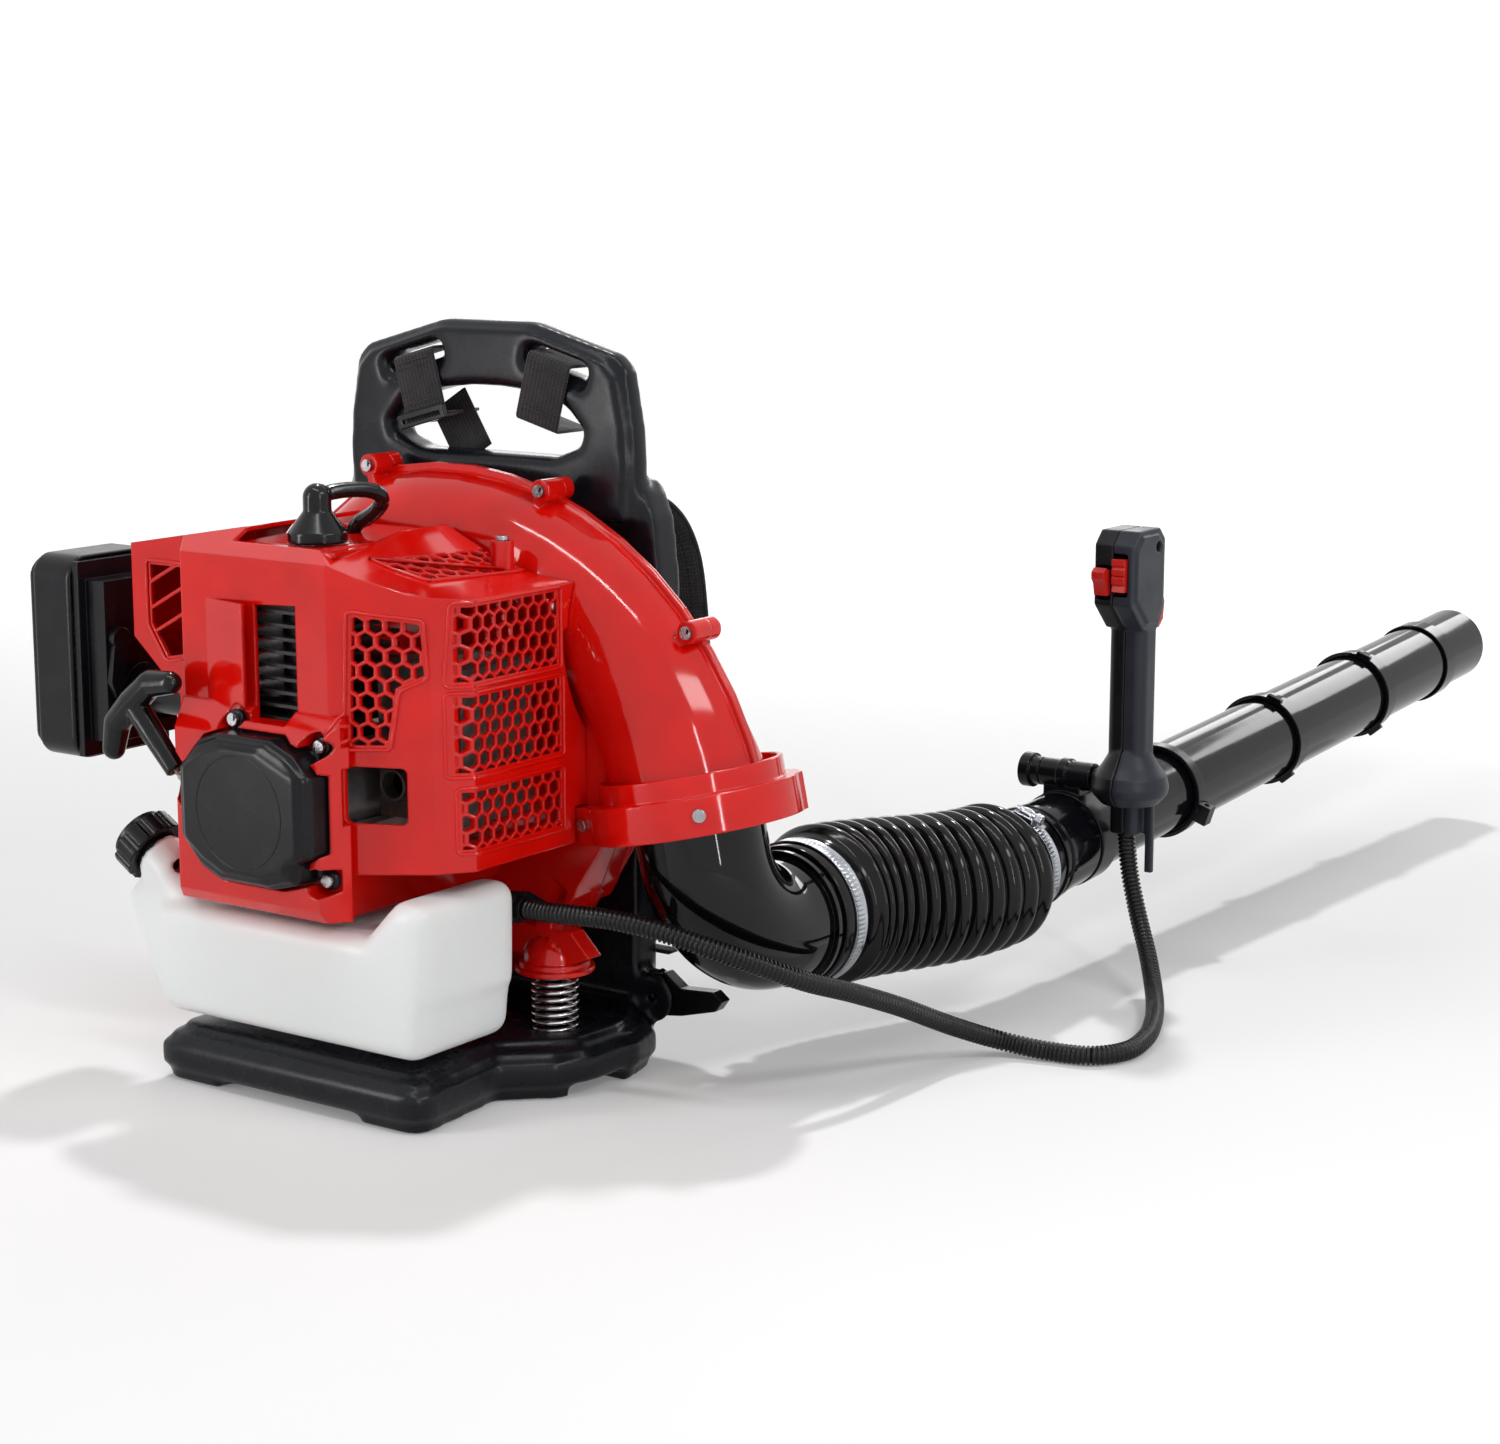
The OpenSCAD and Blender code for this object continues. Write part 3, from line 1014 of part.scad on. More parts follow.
// ---- handle ----------------------------------------------------------------------------------
shaft_x0 = 238;
grip_face = grip_x - 30;
module handle_bracket() color("#151618") {
    difference() {
        union() {
            at_handle() ring_x(11, shaft_r + fit, 246, grip_face - gap);
            at_handle() ring_x(12.5, shaft_r + fit, 262, 270);
            translate([250, handle_y - 9, 136]) cube([32, 18, handle_z - 144]);
        }
        at_tube() rod_y(pipe_r + 0.05, 0, 200);
        at_handle() rod_x(shaft_r + fit, 200, 300);
    }
    at_tube() ring_y(pipe_r + 4, pipe_r + 0.05, handle_s - 12, handle_s + 12);
}
module handle_shaft() color("#2a2b2e") at_handle() rod_x(shaft_r, shaft_x0, grip_x - 16);
module tension_knob() color("#131315") at_handle() difference() {
    union() {
        rod_x(13.5, shaft_x0 - 9, shaft_x0);
        rod_x(11, shaft_x0 - cut, 245.6);
    }
    rod_x(shaft_r + fit, shaft_x0 - 3, 250);
}
head_back = 18;                     // rear face of the head behind the tilt axis
head_front = head_back - head_d;
function head_pts(w) =
    let (z0 = grip_h - head_h + w, z1 = grip_h - w, y0 = head_front + w, y1 = head_back - w)
    [[y0 + 20, z0], [y1 - 8, z0], [y1, z0 + 14], [y1, z1 - 9], [y1 - 9, z1], [y0 + 10, z1], [y0, z1 - 10],
        [y0, z0 + 20]];
module grip_solid(w) {
    stem_d = stem_w - 5;
    slab_x(grip_x - head_w / 2 + w, grip_x + head_w / 2 - w) polygon(head_pts(w));
    slab_x(grip_x - head_w / 2 + w, grip_x + head_w / 2 + 2 - 2 * w) polygon(head_pts(w + 5));
    translate([grip_x, 0, 4]) linear_extrude(grip_h - head_h + 4)
        round_rect(stem_w - 2 * w, stem_d - 2 * w, 8 - w);
    translate([grip_x, 0, 0]) rotate_extrude() polygon([[0, -16 + w], [22 - w, -16 + w], [29 - w, -8],
        [30 - w, -2], [28 - w, 6], [22 - w, 14], [15 - w, 26], [0, 26]]);
    translate([neck_x, 0, -40]) linear_extrude(30) round_rect(23 - 2 * w, 18 - 2 * w, 5 - w);
}
trigger_at = [0, 9, grip_h - head_h + 34];
front_cut = head_front + 6;
module grip_shell() at_handle() difference() {
    union() {
        grip_solid(0);
        translate([grip_x + 12, 3, -70]) cube([6, 5, 56]);
    }
    grip_solid(2.6);
    rod_x(shaft_r + fit, grip_x - 40, grip_x - 12);
    translate([neck_x, 0, -50]) cylinder(r = 5, h = 20);
    slab_x(grip_x - 7, grip_x + 7) translate([6, trigger_at[2] - 47]) square([34, 49]);
    slab_x(grip_x - 14, grip_x - 2) polygon([[front_cut - 20, grip_h - 52], [front_cut, grip_h - 52],
        [front_cut, grip_h - 26], [front_cut - 20, grip_h - 26]]);
    slab_x(grip_x, grip_x + 12) polygon([[front_cut - 20, grip_h - 49], [front_cut, grip_h - 49],
        [front_cut, grip_h - 17], [front_cut - 20, grip_h - 17]]);
    translate([0, trigger_at[1], trigger_at[2]]) rod_x(2 + fit, grip_x - 13, grip_x + 13);
    translate([0, 4, grip_h - 14]) rod_x(4, grip_x + 8, grip_x + 40);
}
module grip_left() color("#1d1e22") intersection() {
    grip_shell();
    cube([2 * grip_x, 2000, 1200], center = true);
}
module grip_right() color("#2b2d34") difference() {
    grip_shell();
    cube([2 * grip_x, 2000, 1200], center = true);
}
module throttle_trigger() color(red) at_handle() translate([0, trigger_at[1], trigger_at[2]]) {
    slab_x(grip_x - 6.5, grip_x + 6.5) polygon([[-4, -4], [-4, 4], [3, 4], [8, -2], [15, -6], [24, -8],
        [29, -18], [27, -32], [20, -38], [12, -32], [6, -20]]);
    rod_x(2, grip_x - 11, grip_x + 11);
}
module throttle_lock() color(red) at_handle() translate([0, head_front, grip_h - 39]) {
    slab_x(grip_x - 13, grip_x - 2.5)
        polygon([[9, -9], [9, 9], [-1, 10], [-6, 12], [-10, 9], [-10, 4], [-7, 0], [-5, -9]]);
    translate([0, 7, 0]) rod_x(2, grip_x - 13.3, grip_x - 1.5);
}
module stop_switch() color(red) at_handle() translate([0, head_front, grip_h - 33]) {
    slab_x(grip_x + 0.5, grip_x + 11.5) polygon([[9, -12], [9, 12], [-4, 13], [-4, 8], [-2.5, 7], [-4, 5],
        [-4, 1], [-2.5, 0], [-4, -1], [-4, -6], [-2.5, -7], [-4, -12]]);
}

// ---- throttle conduit ------------------------------------------------------------------------
// Route of the conduit from the gland under the cover to the neck of the handle
route = [[120, -24, 132], [136, -24, 132], [156, -23, 133], [184, -18, 133], [216, -7, 128], [244, 11, 117],
    [267, 36, 103], [286, 67, 87], [300, 106, 72], [309, 154, 52], [319, 205, 28], [339, 240, 12],
    [371, 251, 7.2], [402, 259, 7.2], [417, 284, 7.2], [413, 320, 7.2], [400, 356, 7.2], [384, 390, 8],
    [369, 416, 15], [352, 438, 34], [335, 453, 60], [323, 461, 90], [neck_x, handle_y, 120]];
fine = 240;
fine_pts = [for (i = [0 : fine]) smooth_at(route, (len(route) - 1) * i / fine)];
fine_len = concat([0], running([for (i = [1 : fine]) norm(fine_pts[i] - fine_pts[i - 1])]));
route_len = fine_len[fine];
function on_route(s) = [for (k = [0 : 2]) lookup(s, [for (i = [0 : fine]) [fine_len[i], fine_pts[i][k]]])];
straight = 2 * conduit_r;
function rib_s(i) = straight + (route_len - 2 * straight) * i / (2 * conduit_ribs);
conduit_s = concat([0], [for (i = [0 : 2 * conduit_ribs]) rib_s(i)], [route_len]);
function conduit_ring(s, r) = let (e = 2, a = on_route(max(s - e, 0)), b = on_route(min(s + e, route_len)))
    ring_at(on_route(s), b - a, r, 8, [0.5, -0.6, 0.6]);
echo(conduit_length = route_len);
module throttle_conduit() color("#131416") {
    last = len(conduit_s) - 1;
    skin([for (i = [0 : last]) conduit_ring(conduit_s[i], conduit_r - (i % 2 == 0 || i == last ? 1.1 : 0))]);
}
module conduit_gland() color("#18191b") {
    translate(gland_at) {
        rod_x(8.5, -4, 10);
        rod_x(11, -4, 4);
    }
    slab_x(gland_at[0] - 4, gland_at[0] + 2)
        polygon([[gland_at[1] - 4, 126], [gland_at[1] - 4, 140], [-10, 140], [20, 122], [20, pad_top],
            [9, pad_top], [-12, 125]]);
}

backpack_frame();
back_pad();
shoulder_strap_left();
shoulder_strap_right();
strap_webbing();
strap_buckles();
mount_springs();
rear_buffers();
engine_bed();
crankcase();
crank_bearings();
crankshaft();
flywheel();
impeller();
cylinder_block();  // cylinder
piston();
gudgeon_pin();
connecting_rod();
spark_plug();
plug_boot_and_lead();
ignition_coil();
muffler();
carburetor();
choke_lever();
air_filter_base();
air_filter_element();
air_filter_cover();
filter_cover_knob();
engine_cover();
starter_housing();
starter_reel();
starter_rope();
starter_grip();
fan_case_front();
fan_case_rear();
outlet_collar();
fuel_tank();
fuel_cap();
fuel_line();
body_screws();
elbow();
hose_clamp_large();
bellows();
hose_clamp_small();
swivel_pipe();
pipe_clamp();
blow_pipe_rear();
blow_pipe_middle();
blow_pipe_front();
nozzle();
handle_bracket();
handle_shaft();
tension_knob();
grip_left();
grip_right();
throttle_trigger();
throttle_lock();
stop_switch();
throttle_conduit();
conduit_gland();
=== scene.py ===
"""Backpack leaf blower: the looks of every piece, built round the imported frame. Lengths are in metres."""
import math

import bmesh
import bpy
from mathutils import Matrix, Vector


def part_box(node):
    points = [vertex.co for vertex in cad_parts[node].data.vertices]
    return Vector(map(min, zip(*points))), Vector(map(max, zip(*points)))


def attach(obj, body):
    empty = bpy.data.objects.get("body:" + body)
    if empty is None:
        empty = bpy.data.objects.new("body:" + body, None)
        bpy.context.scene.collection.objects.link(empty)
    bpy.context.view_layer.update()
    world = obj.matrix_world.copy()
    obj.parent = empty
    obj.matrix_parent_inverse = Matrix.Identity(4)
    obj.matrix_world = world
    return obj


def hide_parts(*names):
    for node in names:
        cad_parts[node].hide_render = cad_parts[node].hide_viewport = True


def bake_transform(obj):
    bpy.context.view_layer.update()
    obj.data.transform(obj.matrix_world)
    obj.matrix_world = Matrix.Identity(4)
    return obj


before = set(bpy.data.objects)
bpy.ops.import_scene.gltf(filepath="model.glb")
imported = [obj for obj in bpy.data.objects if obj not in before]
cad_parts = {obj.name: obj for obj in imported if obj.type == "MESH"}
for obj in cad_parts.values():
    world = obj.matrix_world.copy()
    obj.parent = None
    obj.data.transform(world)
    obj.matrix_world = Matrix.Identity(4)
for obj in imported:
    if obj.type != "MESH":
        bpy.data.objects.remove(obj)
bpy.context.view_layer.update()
MM = 0.001
X, Y, Z = Vector((1, 0, 0)), Vector((0, 1, 0)), Vector((0, 0, 1))


# ---- camera ----
def make_camera(place, heading, dip, lens):
    """The camera, turned to the left by heading and down by dip, both in degrees."""
    data = bpy.data.cameras.new("camera")
    data.lens = lens
    data.sensor_width = 36
    camera = bpy.data.objects.new("camera", data)
    camera.location = place
    camera.rotation_euler = (math.radians(90 - dip), 0, math.radians(heading))
    bpy.context.scene.collection.objects.link(camera)
    bpy.context.scene.camera = camera


make_camera(place=(1.375, -1.552, 0.635), heading=35, dip=10.75, lens=72)


# ---- geometry ----
def mm(points):
    """Points given in millimetres, as vectors in metres."""
    return [Vector(p) * MM for p in points]


def shade_smooth(mesh):
    for face in mesh.polygons:
        face.use_smooth = True


def piece(name, verts, faces):
    """A smooth object from points and faces, with its normals facing out."""
    mesh = bpy.data.meshes.new(name)
    mesh.from_pydata([tuple(v) for v in verts], [], faces)
    work = bmesh.new()
    work.from_mesh(mesh)
    bmesh.ops.recalc_face_normals(work, faces=work.faces)
    work.to_mesh(mesh)
    work.free()
    shade_smooth(mesh)
    obj = bpy.data.objects.new(name, mesh)
    bpy.context.scene.collection.objects.link(obj)
    return obj


def ring_faces(start, count, rings, loop=False):
    """Quads between neighbouring rings of count points; loop joins the last ring to the first."""
    pairs = [(i, (i + 1) % rings) for i in range(rings if loop else rings - 1)]
    return [(start + a * count + k, start + a * count + (k + 1) % count,
             start + b * count + (k + 1) % count, start + b * count + k)
            for a, b in pairs for k in range(count)]


class Mesh:
    """Collects shapes that end up in one piece."""

    def __init__(self):
        self.verts = []
        self.faces = []

    def skin(self, rings, loop=False):
        """A closed skin over rings of points, with flat ends unless it loops."""
        start = len(self.verts)
        count = len(rings[0])
        self.verts += [p for ring in rings for p in ring]
        self.faces += ring_faces(start, count, len(rings), loop)
        if not loop:
            last = start + (len(rings) - 1) * count
            self.faces += [tuple(range(start, start + count)), tuple(range(last, last + count))]

    def lathe(self, profile, centre, axis, sides, loop=False, lobes=None):
        """Turns (radius, height) pairs about an axis; lobes(radius, height, angle) may change a radius."""
        side, top = square_to(axis)
        rings = []
        for radius, height in profile:
            ring = []
            for k in range(sides):
                angle = 2 * math.pi * k / sides
                r = lobes(radius, height, angle) if lobes else radius
                ring.append(centre + axis * height + (side * math.cos(angle) + top * math.sin(angle)) * r)
            rings.append(ring)
        self.skin(rings, loop)

    def block(self, centre, axes, size, soft):
        """A box with rounded edges: size along the three axes, edges rounded by soft."""
        half = [s / 2 for s in size]
        turns = [math.radians(turn) for turn in (0, 30, 60, 90)]
        rings = []
        for end, order in ((-1, turns), (1, turns[::-1])):
            for turn in order:
                inset = soft * (1 - math.sin(turn))
                depth = half[2] - soft * (1 - math.cos(turn))
                rings.append([centre + axes[0] * x + axes[1] * y + axes[2] * end * depth
                              for x, y in rounded_outline(half[0] - inset, half[1] - inset, soft)])
        self.skin(rings)

    def make(self, name):
        return piece(name, self.verts, self.faces)


def rounded_outline(half_w, half_h, soft, steps=4):
    """Points of a rectangle with round corners."""
    soft = min(soft, half_w, half_h)
    points = []
    for quarter, (sx, sy) in enumerate([(1, 1), (-1, 1), (-1, -1), (1, -1)]):
        for i in range(steps + 1):
            angle = math.radians(90 * quarter + 90 * i / steps)
            points.append((sx * (half_w - soft) + soft * math.cos(angle),
                           sy * (half_h - soft) + soft * math.sin(angle)))
    return points


def square_to(axis, towards=Z):
    """Two unit vectors square to an axis, the second as near to towards as can be."""
    axis = axis.normalized()
    top = towards - axis * towards.dot(axis)
    if top.length < 0.1:
        top = X - axis * X.dot(axis)
    top.normalize()
    return top.cross(axis), top


def spline(points, steps):
    """A smooth curve through the points, with steps samples to a span."""
    line = []
    for i in range(len(points) - 1):
        a, b = points[max(i - 1, 0)], points[i]
        c, d = points[i + 1], points[min(i + 2, len(points) - 1)]
        for f in (k / steps for k in range(steps)):
            line.append(0.5 * (2 * b + (c - a) * f + (2 * a - 5 * b + 4 * c - d) * f ** 2
                               + (3 * b - a - 3 * c + d) * f ** 3))
    return line + [points[-1]]


class Line:
    """A curve by its length, with directions that don't twist along it."""

    def __init__(self, points, towards=Z):
        self.points = points
        self.at = [0.0]
        for a, b in zip(points, points[1:]):
            self.at.append(self.at[-1] + (b - a).length)
        self.length = self.at[-1]
        self.ways = []
        for i in range(len(points)):
            way = points[min(i + 1, len(points) - 1)] - points[max(i - 1, 0)]
            self.ways.append(way.normalized())
        _, top = square_to(self.ways[0], towards)
        self.tops = []
        for way in self.ways:
            top = (top - way * top.dot(way)).normalized()
            self.tops.append(top)

    def frame(self, s):
        """Point, direction, side and top at length s."""
        low, high = 0, len(self.at) - 2
        while low < high:
            middle = (low + high + 1) // 2
            low, high = (middle, high) if self.at[middle] <= s else (low, middle - 1)
        f = (s - self.at[low]) / max(self.at[low + 1] - self.at[low], 1e-9)
        way = self.ways[low].lerp(self.ways[low + 1], f).normalized()
        top = self.tops[low].lerp(self.tops[low + 1], f)
        top = (top - way * top.dot(way)).normalized()
        return self.points[low].lerp(self.points[low + 1], f), way, way.cross(top), top

    def ring(self, s, section):
        """A closed section, as (side, top) pairs, set square to the curve at length s."""
        centre, _, side, top = self.frame(s)
        return [centre + side * x + top * y for x, y in section]


def circle(radius, sides, turn=0.0, lobes=0, depth=0.0):
    """(x, y) points round a circle that may have lobes of some depth."""
    angles = [2 * math.pi * k / sides for k in range(sides)]
    return [((radius + depth * math.cos(lobes * a)) * math.cos(a + turn),
             (radius + depth * math.cos(lobes * a)) * math.sin(a + turn)) for a in angles]


def loop_rings(points, radius, sides):
    """Rings of a tube that closes on itself."""
    rings = []
    for i, p in enumerate(points):
        way = (points[(i + 1) % len(points)] - points[i - 1]).normalized()
        side, top = square_to(way, Y)
        rings.append([p + side * x + top * y for x, y in circle(radius, sides)])
    return rings


def store_weave(obj, places):
    """Keeps (across, along, through) for each point, which the woven materials follow."""
    data = obj.data.attributes.new("weave", "FLOAT_VECTOR", "POINT")
    for item, place in zip(data.data, places):
        item.vector = place


# ---- materials ----
class Finish:
    """A material whose colour, roughness and bump come from nodes, in metres on the piece."""

    def __init__(self, name, colour, roughness, **constants):
        self.material = bpy.data.materials.new(name)
        self.material.use_nodes = True
        self.tree = self.material.node_tree
        self.shader = self.tree.nodes["Principled BSDF"]
        self.place = self.add("TexCoord").outputs["Object"]
        self.colour = (*colour, 1.0)
        self.roughness = roughness
        self.normal = None
        for key, value in constants.items():
            self.shader.inputs[key.replace("_", " ")].default_value = value

    def add(self, kind, inputs=None, **settings):
        node = self.tree.nodes.new("ShaderNode" + kind)
        for key, value in settings.items():
            setattr(node, key, value)
        for key, value in (inputs or {}).items():
            if isinstance(value, bpy.types.NodeSocket):
                self.tree.links.new(value, node.inputs[key])
            else:
                node.inputs[key].default_value = value
        return node

    def noise(self, size, detail=3.0, stretch=(1, 1, 1)):
        """Cloudy noise with features about size metres across."""
        place = self.add("Mapping", {"Vector": self.place, "Scale": stretch}).outputs[0]
        return self.add("TexNoise", {"Vector": place, "Scale": 1 / size, "Detail": detail}).outputs[0]

    def spread(self, value, low, high, start=0.3, end=0.7):
        return self.add("MapRange", {"Value": value, "From Min": start, "From Max": end,
                                     "To Min": low, "To Max": high}).outputs[0]

    def mix(self, share, a, b):
        node = self.add("Mix", {0: share, 6: a, 7: b}, data_type="RGBA")
        return node.outputs[2]

    def shade(self, share, factor):
        """Colour moves towards factor times itself where share is 1."""
        if isinstance(self.colour, tuple):
            other = (*(min(1.0, c * factor) for c in self.colour[:3]), 1.0)
        else:
            other = self.add("Mix", {0: 1.0, 6: self.colour, 7: (factor, factor, factor, 1)},
                             data_type="RGBA", blend_type="MULTIPLY").outputs[2]
        self.colour = self.mix(share, self.colour, other)

    def tint(self, share, colour):
        self.colour = self.mix(share, self.colour, (*colour, 1.0))

    def bump(self, height, depth, strength):
        inputs = {"Height": height, "Distance": depth, "Strength": strength}
        if self.normal:
            inputs["Normal"] = self.normal
        self.normal = self.add("Bump", inputs).outputs[0]

    def round_edges(self, radius):
        self.normal = self.add("Bevel", {"Radius": radius}, samples=6).outputs[0]

    def edge_wear(self, radius, colour, amount):
        """Corners rubbed towards a colour, broken up by noise."""
        soft = self.add("Bevel", {"Radius": radius}, samples=4).outputs[0]
        true = self.add("NewGeometry").outputs["Normal"]
        turn = self.add("VectorMath", {0: soft, 1: true}, operation="DOT_PRODUCT").outputs["Value"]
        edge = self.spread(turn, 1.0, 0.0, 0.75, 0.97)
        rub = self.spread(self.noise(0.006), 0.0, amount, 0.4, 0.62)
        self.tint(self.add("Math", {0: edge, 1: rub}, operation="MULTIPLY").outputs[0], colour)

    def done(self):
        inputs = self.shader.inputs
        values = {"Base Color": self.colour, "Roughness": self.roughness, "Normal": self.normal}
        for key, value in values.items():
            if isinstance(value, bpy.types.NodeSocket):
                self.tree.links.new(value, inputs[key])
            elif value is not None:
                inputs[key].default_value = value
        return self.material


def plastic(name, colour, roughness, grain=0.0, edges=0.0006, wear=None, **constants):
    """Moulded plastic: slight clouding, fine smears in the gloss, grain and softened edges."""
    f = Finish(name, colour, roughness, **constants)
    f.shade(f.spread(f.noise(0.05), 0.0, 1.0), 0.82)
    if wear:
        f.edge_wear(0.0012, wear, 0.5)
    f.roughness = f.spread(f.noise(0.02, 4.0), roughness * 0.82, roughness * 1.25)
    if edges:
        f.round_edges(edges)
    f.bump(f.noise(0.03, 2.0), 0.0003, 0.06)
    if grain:
        f.bump(f.noise(0.0006, 1.0), 0.0001, grain)
    return f.done()


def metal(name, colour, roughness, brush=(1, 1, 1), cast=0.0):
    """Bare or cast metal: streaks along the brushing, darker stains, cast grain."""
    f = Finish(name, colour, roughness, Metallic=1.0)
    f.shade(f.spread(f.noise(0.012, 5.0), 0.0, 1.0), 0.7)
    streaks = f.noise(0.0009, 2.0, brush)
    f.roughness = f.spread(streaks, roughness * 0.7, roughness * 1.5)
    f.round_edges(0.0004)
    f.bump(streaks, 0.00003, 0.5)
    if cast:
        f.bump(f.noise(0.0012, 3.0), 0.0002, cast)
    return f.done()


def woven(name, colour, roughness, rib, cross, depth, sheen=0.3):
    """Woven cloth: ribs along it and threads across, from the weave attribute, with painted shade in their
    grooves.
    """
    f = Finish(name, colour, roughness, Sheen_Weight=sheen, Sheen_Roughness=0.5, Specular_IOR_Level=0.25)
    f.place = f.add("Attribute", attribute_name="weave").outputs["Vector"]
    ribs = wave(f, "X", rib)
    threads = wave(f, "Y", cross)
    both = f.add("Math", {0: ribs, 1: threads}, operation="MULTIPLY").outputs[0]
    # Painted shade: the colour darkens where the weave is low, in the grooves between the threads.
    f.shade(f.spread(both, 1.0, 0.0, 0.0, 0.6), 0.45)
    f.shade(f.spread(f.noise(0.012, 4.0), 0.0, 1.0), 1.5)
    f.roughness = f.spread(f.noise(0.01), roughness * 0.9, min(1.0, roughness * 1.1))
    f.bump(both, depth, 0.8)
    f.bump(f.noise(0.0004, 1.0), 0.0001, 0.3)
    return f.done()


def wave(f, axis, pitch):
    """A sine of the given pitch along an axis of the material's place."""
    scale = 2 * math.pi / (20 * pitch)
    return f.add("TexWave", {"Vector": f.place, "Scale": scale}, bands_direction=axis,
                 wave_profile="SIN").outputs["Fac"]


def foam(name, colour):
    """Open foam: painted shade darkens the pits between its cells."""
    f = Finish(name, colour, 0.95, Specular_IOR_Level=0.1)
    cells = f.add("TexVoronoi", {"Vector": f.place, "Scale": 600.0}).outputs["Distance"]
    # Painted shade: darker where the cells dip into pits, following the bump.
    f.shade(f.spread(cells, 1.0, 0.0, 0.1, 0.6), 0.4)
    f.bump(cells, 0.0008, 0.8)
    return f.done()


def tank_plastic(name):
    """Milky, slightly see-through polyethylene with a soft mould texture."""
    f = Finish(name, (0.94, 0.935, 0.93), 0.26, Subsurface_Weight=0.15, Subsurface_Scale=0.012,
               Specular_IOR_Level=0.4)
    f.tint(f.spread(f.noise(0.08), 0.0, 0.3), (0.88, 0.87, 0.85))
    f.roughness = f.spread(f.noise(0.015, 4.0), 0.28, 0.42)
    f.bump(f.noise(0.02, 2.0), 0.0006, 0.12)
    f.bump(f.noise(0.0008, 1.0), 0.0001, 0.12)
    return f.done()


def hot_steel(name):
    """Blackened sheet steel with brown heat marks."""
    f = Finish(name, (0.09, 0.085, 0.08), 0.55, Metallic=0.7)
    f.tint(f.spread(f.noise(0.03, 5.0), 0.0, 0.8, 0.5, 0.75), (0.20, 0.10, 0.05))
    f.roughness = f.spread(f.noise(0.006, 4.0), 0.4, 0.75)
    f.round_edges(0.0006)
    f.bump(f.noise(0.002), 0.0003, 0.3)
    return f.done()


def rope_fibre(name):
    """Pale, worn fibres."""
    f = Finish(name, (0.66, 0.63, 0.56), 0.85, Sheen_Weight=0.3, Specular_IOR_Level=0.2)
    f.shade(f.spread(f.noise(0.0008), 0.0, 1.0), 0.55)
    f.bump(f.noise(0.0005), 0.0003, 0.8)
    return f.done()


def make_finishes():
    rubbed = (0.045, 0.045, 0.05)
    return {
        "frame_plastic": plastic("frame_plastic", (0.008, 0.009, 0.013), 0.26, 0.12, wear=rubbed,
                                 Specular_IOR_Level=0.22),
        "red_plastic": plastic("red_plastic", (0.76, 0.005, 0.002), 0.08, 0.02, edges=0.0020,
                               Specular_IOR_Level=0.4),
        "satin_black": plastic("satin_black", (0.006, 0.006, 0.008), 0.24, 0.1, edges=0.001,
                               Specular_IOR_Level=0.22),
        "gloss_black": plastic("gloss_black", (0.003, 0.003, 0.004), 0.05, 0.0, Specular_IOR_Level=0.3),
        "pipe_plastic": plastic("pipe_plastic", (0.004, 0.004, 0.006), 0.10, 0.01,
                                Specular_IOR_Level=0.2),
        "grip_plastic": plastic("grip_plastic", (0.006, 0.006, 0.008), 0.34, 0.3, Specular_IOR_Level=0.22),
        "grip_side": plastic("grip_side", (0.024, 0.027, 0.038), 0.38, 0.4, Specular_IOR_Level=0.24),
        "control_red": plastic("control_red", (0.62, 0.015, 0.010), 0.30, 0.1, Specular_IOR_Level=0.45),
        "buckle_plastic": plastic("buckle_plastic", (0.006, 0.006, 0.007), 0.2, 0.05,
                                  Specular_IOR_Level=0.35),
        "fan_plastic": plastic("fan_plastic", (0.035, 0.035, 0.037), 0.45, 0.4),
        "coil_plastic": plastic("coil_plastic", (0.03, 0.03, 0.032), 0.5, 0.3),
        "buffer_rubber": plastic("buffer_rubber", (0.018, 0.018, 0.018), 0.65, 0.5, Specular_IOR_Level=0.3),
        "boot_rubber": plastic("boot_rubber", (0.004, 0.004, 0.004), 0.18, 0.05, Specular_IOR_Level=0.28),
        "hose_rubber": plastic("hose_rubber", (0.004, 0.004, 0.005), 0.13, 0.03, edges=0,
                               Specular_IOR_Level=0.26),
        "conduit_plastic": plastic("conduit_plastic", (0.005, 0.005, 0.006), 0.26, 0.05, edges=0,
                                   Specular_IOR_Level=0.3),
        "fuel_hose": plastic("fuel_hose", (0.10, 0.09, 0.05), 0.4, 0.1),
        "ceramic": plastic("ceramic", (0.85, 0.85, 0.83), 0.15),
        "tank_plastic": tank_plastic("tank_plastic"),
        "filter_foam": foam("filter_foam", (0.5, 0.42, 0.22)),
        "muffler_steel": hot_steel("muffler_steel"),
        "rope_cord": rope_fibre("rope_cord"),
        "spring_steel": metal("spring_steel", (0.78, 0.78, 0.80), 0.16),
        "clamp_steel": metal("clamp_steel", (0.50, 0.52, 0.56), 0.18, (1, 12, 1)),
        "screw_steel": metal("screw_steel", (0.42, 0.42, 0.44), 0.22),
        "machined_steel": metal("machined_steel", (0.55, 0.55, 0.56), 0.25, (1, 20, 1)),
        "piston_aluminium": metal("piston_aluminium", (0.75, 0.75, 0.76), 0.3, (20, 1, 1)),
        "cast_aluminium": metal("cast_aluminium", (0.5, 0.5, 0.51), 0.45, cast=0.6),
        "cylinder_aluminium": metal("cylinder_aluminium", (0.05, 0.05, 0.053), 0.5, cast=0.6),
        "webbing": woven("webbing", (0.007, 0.007, 0.008), 0.7, 0.0032, 0.0016, 0.0005),
        "pad_fabric": woven("pad_fabric", (0.014, 0.015, 0.017), 0.85, 0.0024, 0.0024, 0.0006, 0.5),
    }


finishes = make_finishes()


def dress(obj, slot, body=None):
    """Gives a new piece the finish of a slot and, if it rides on one body, that body."""
    obj.data.materials.clear()
    obj.data.materials.append(finishes[slot])
    if body:
        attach(obj, body)
    return obj


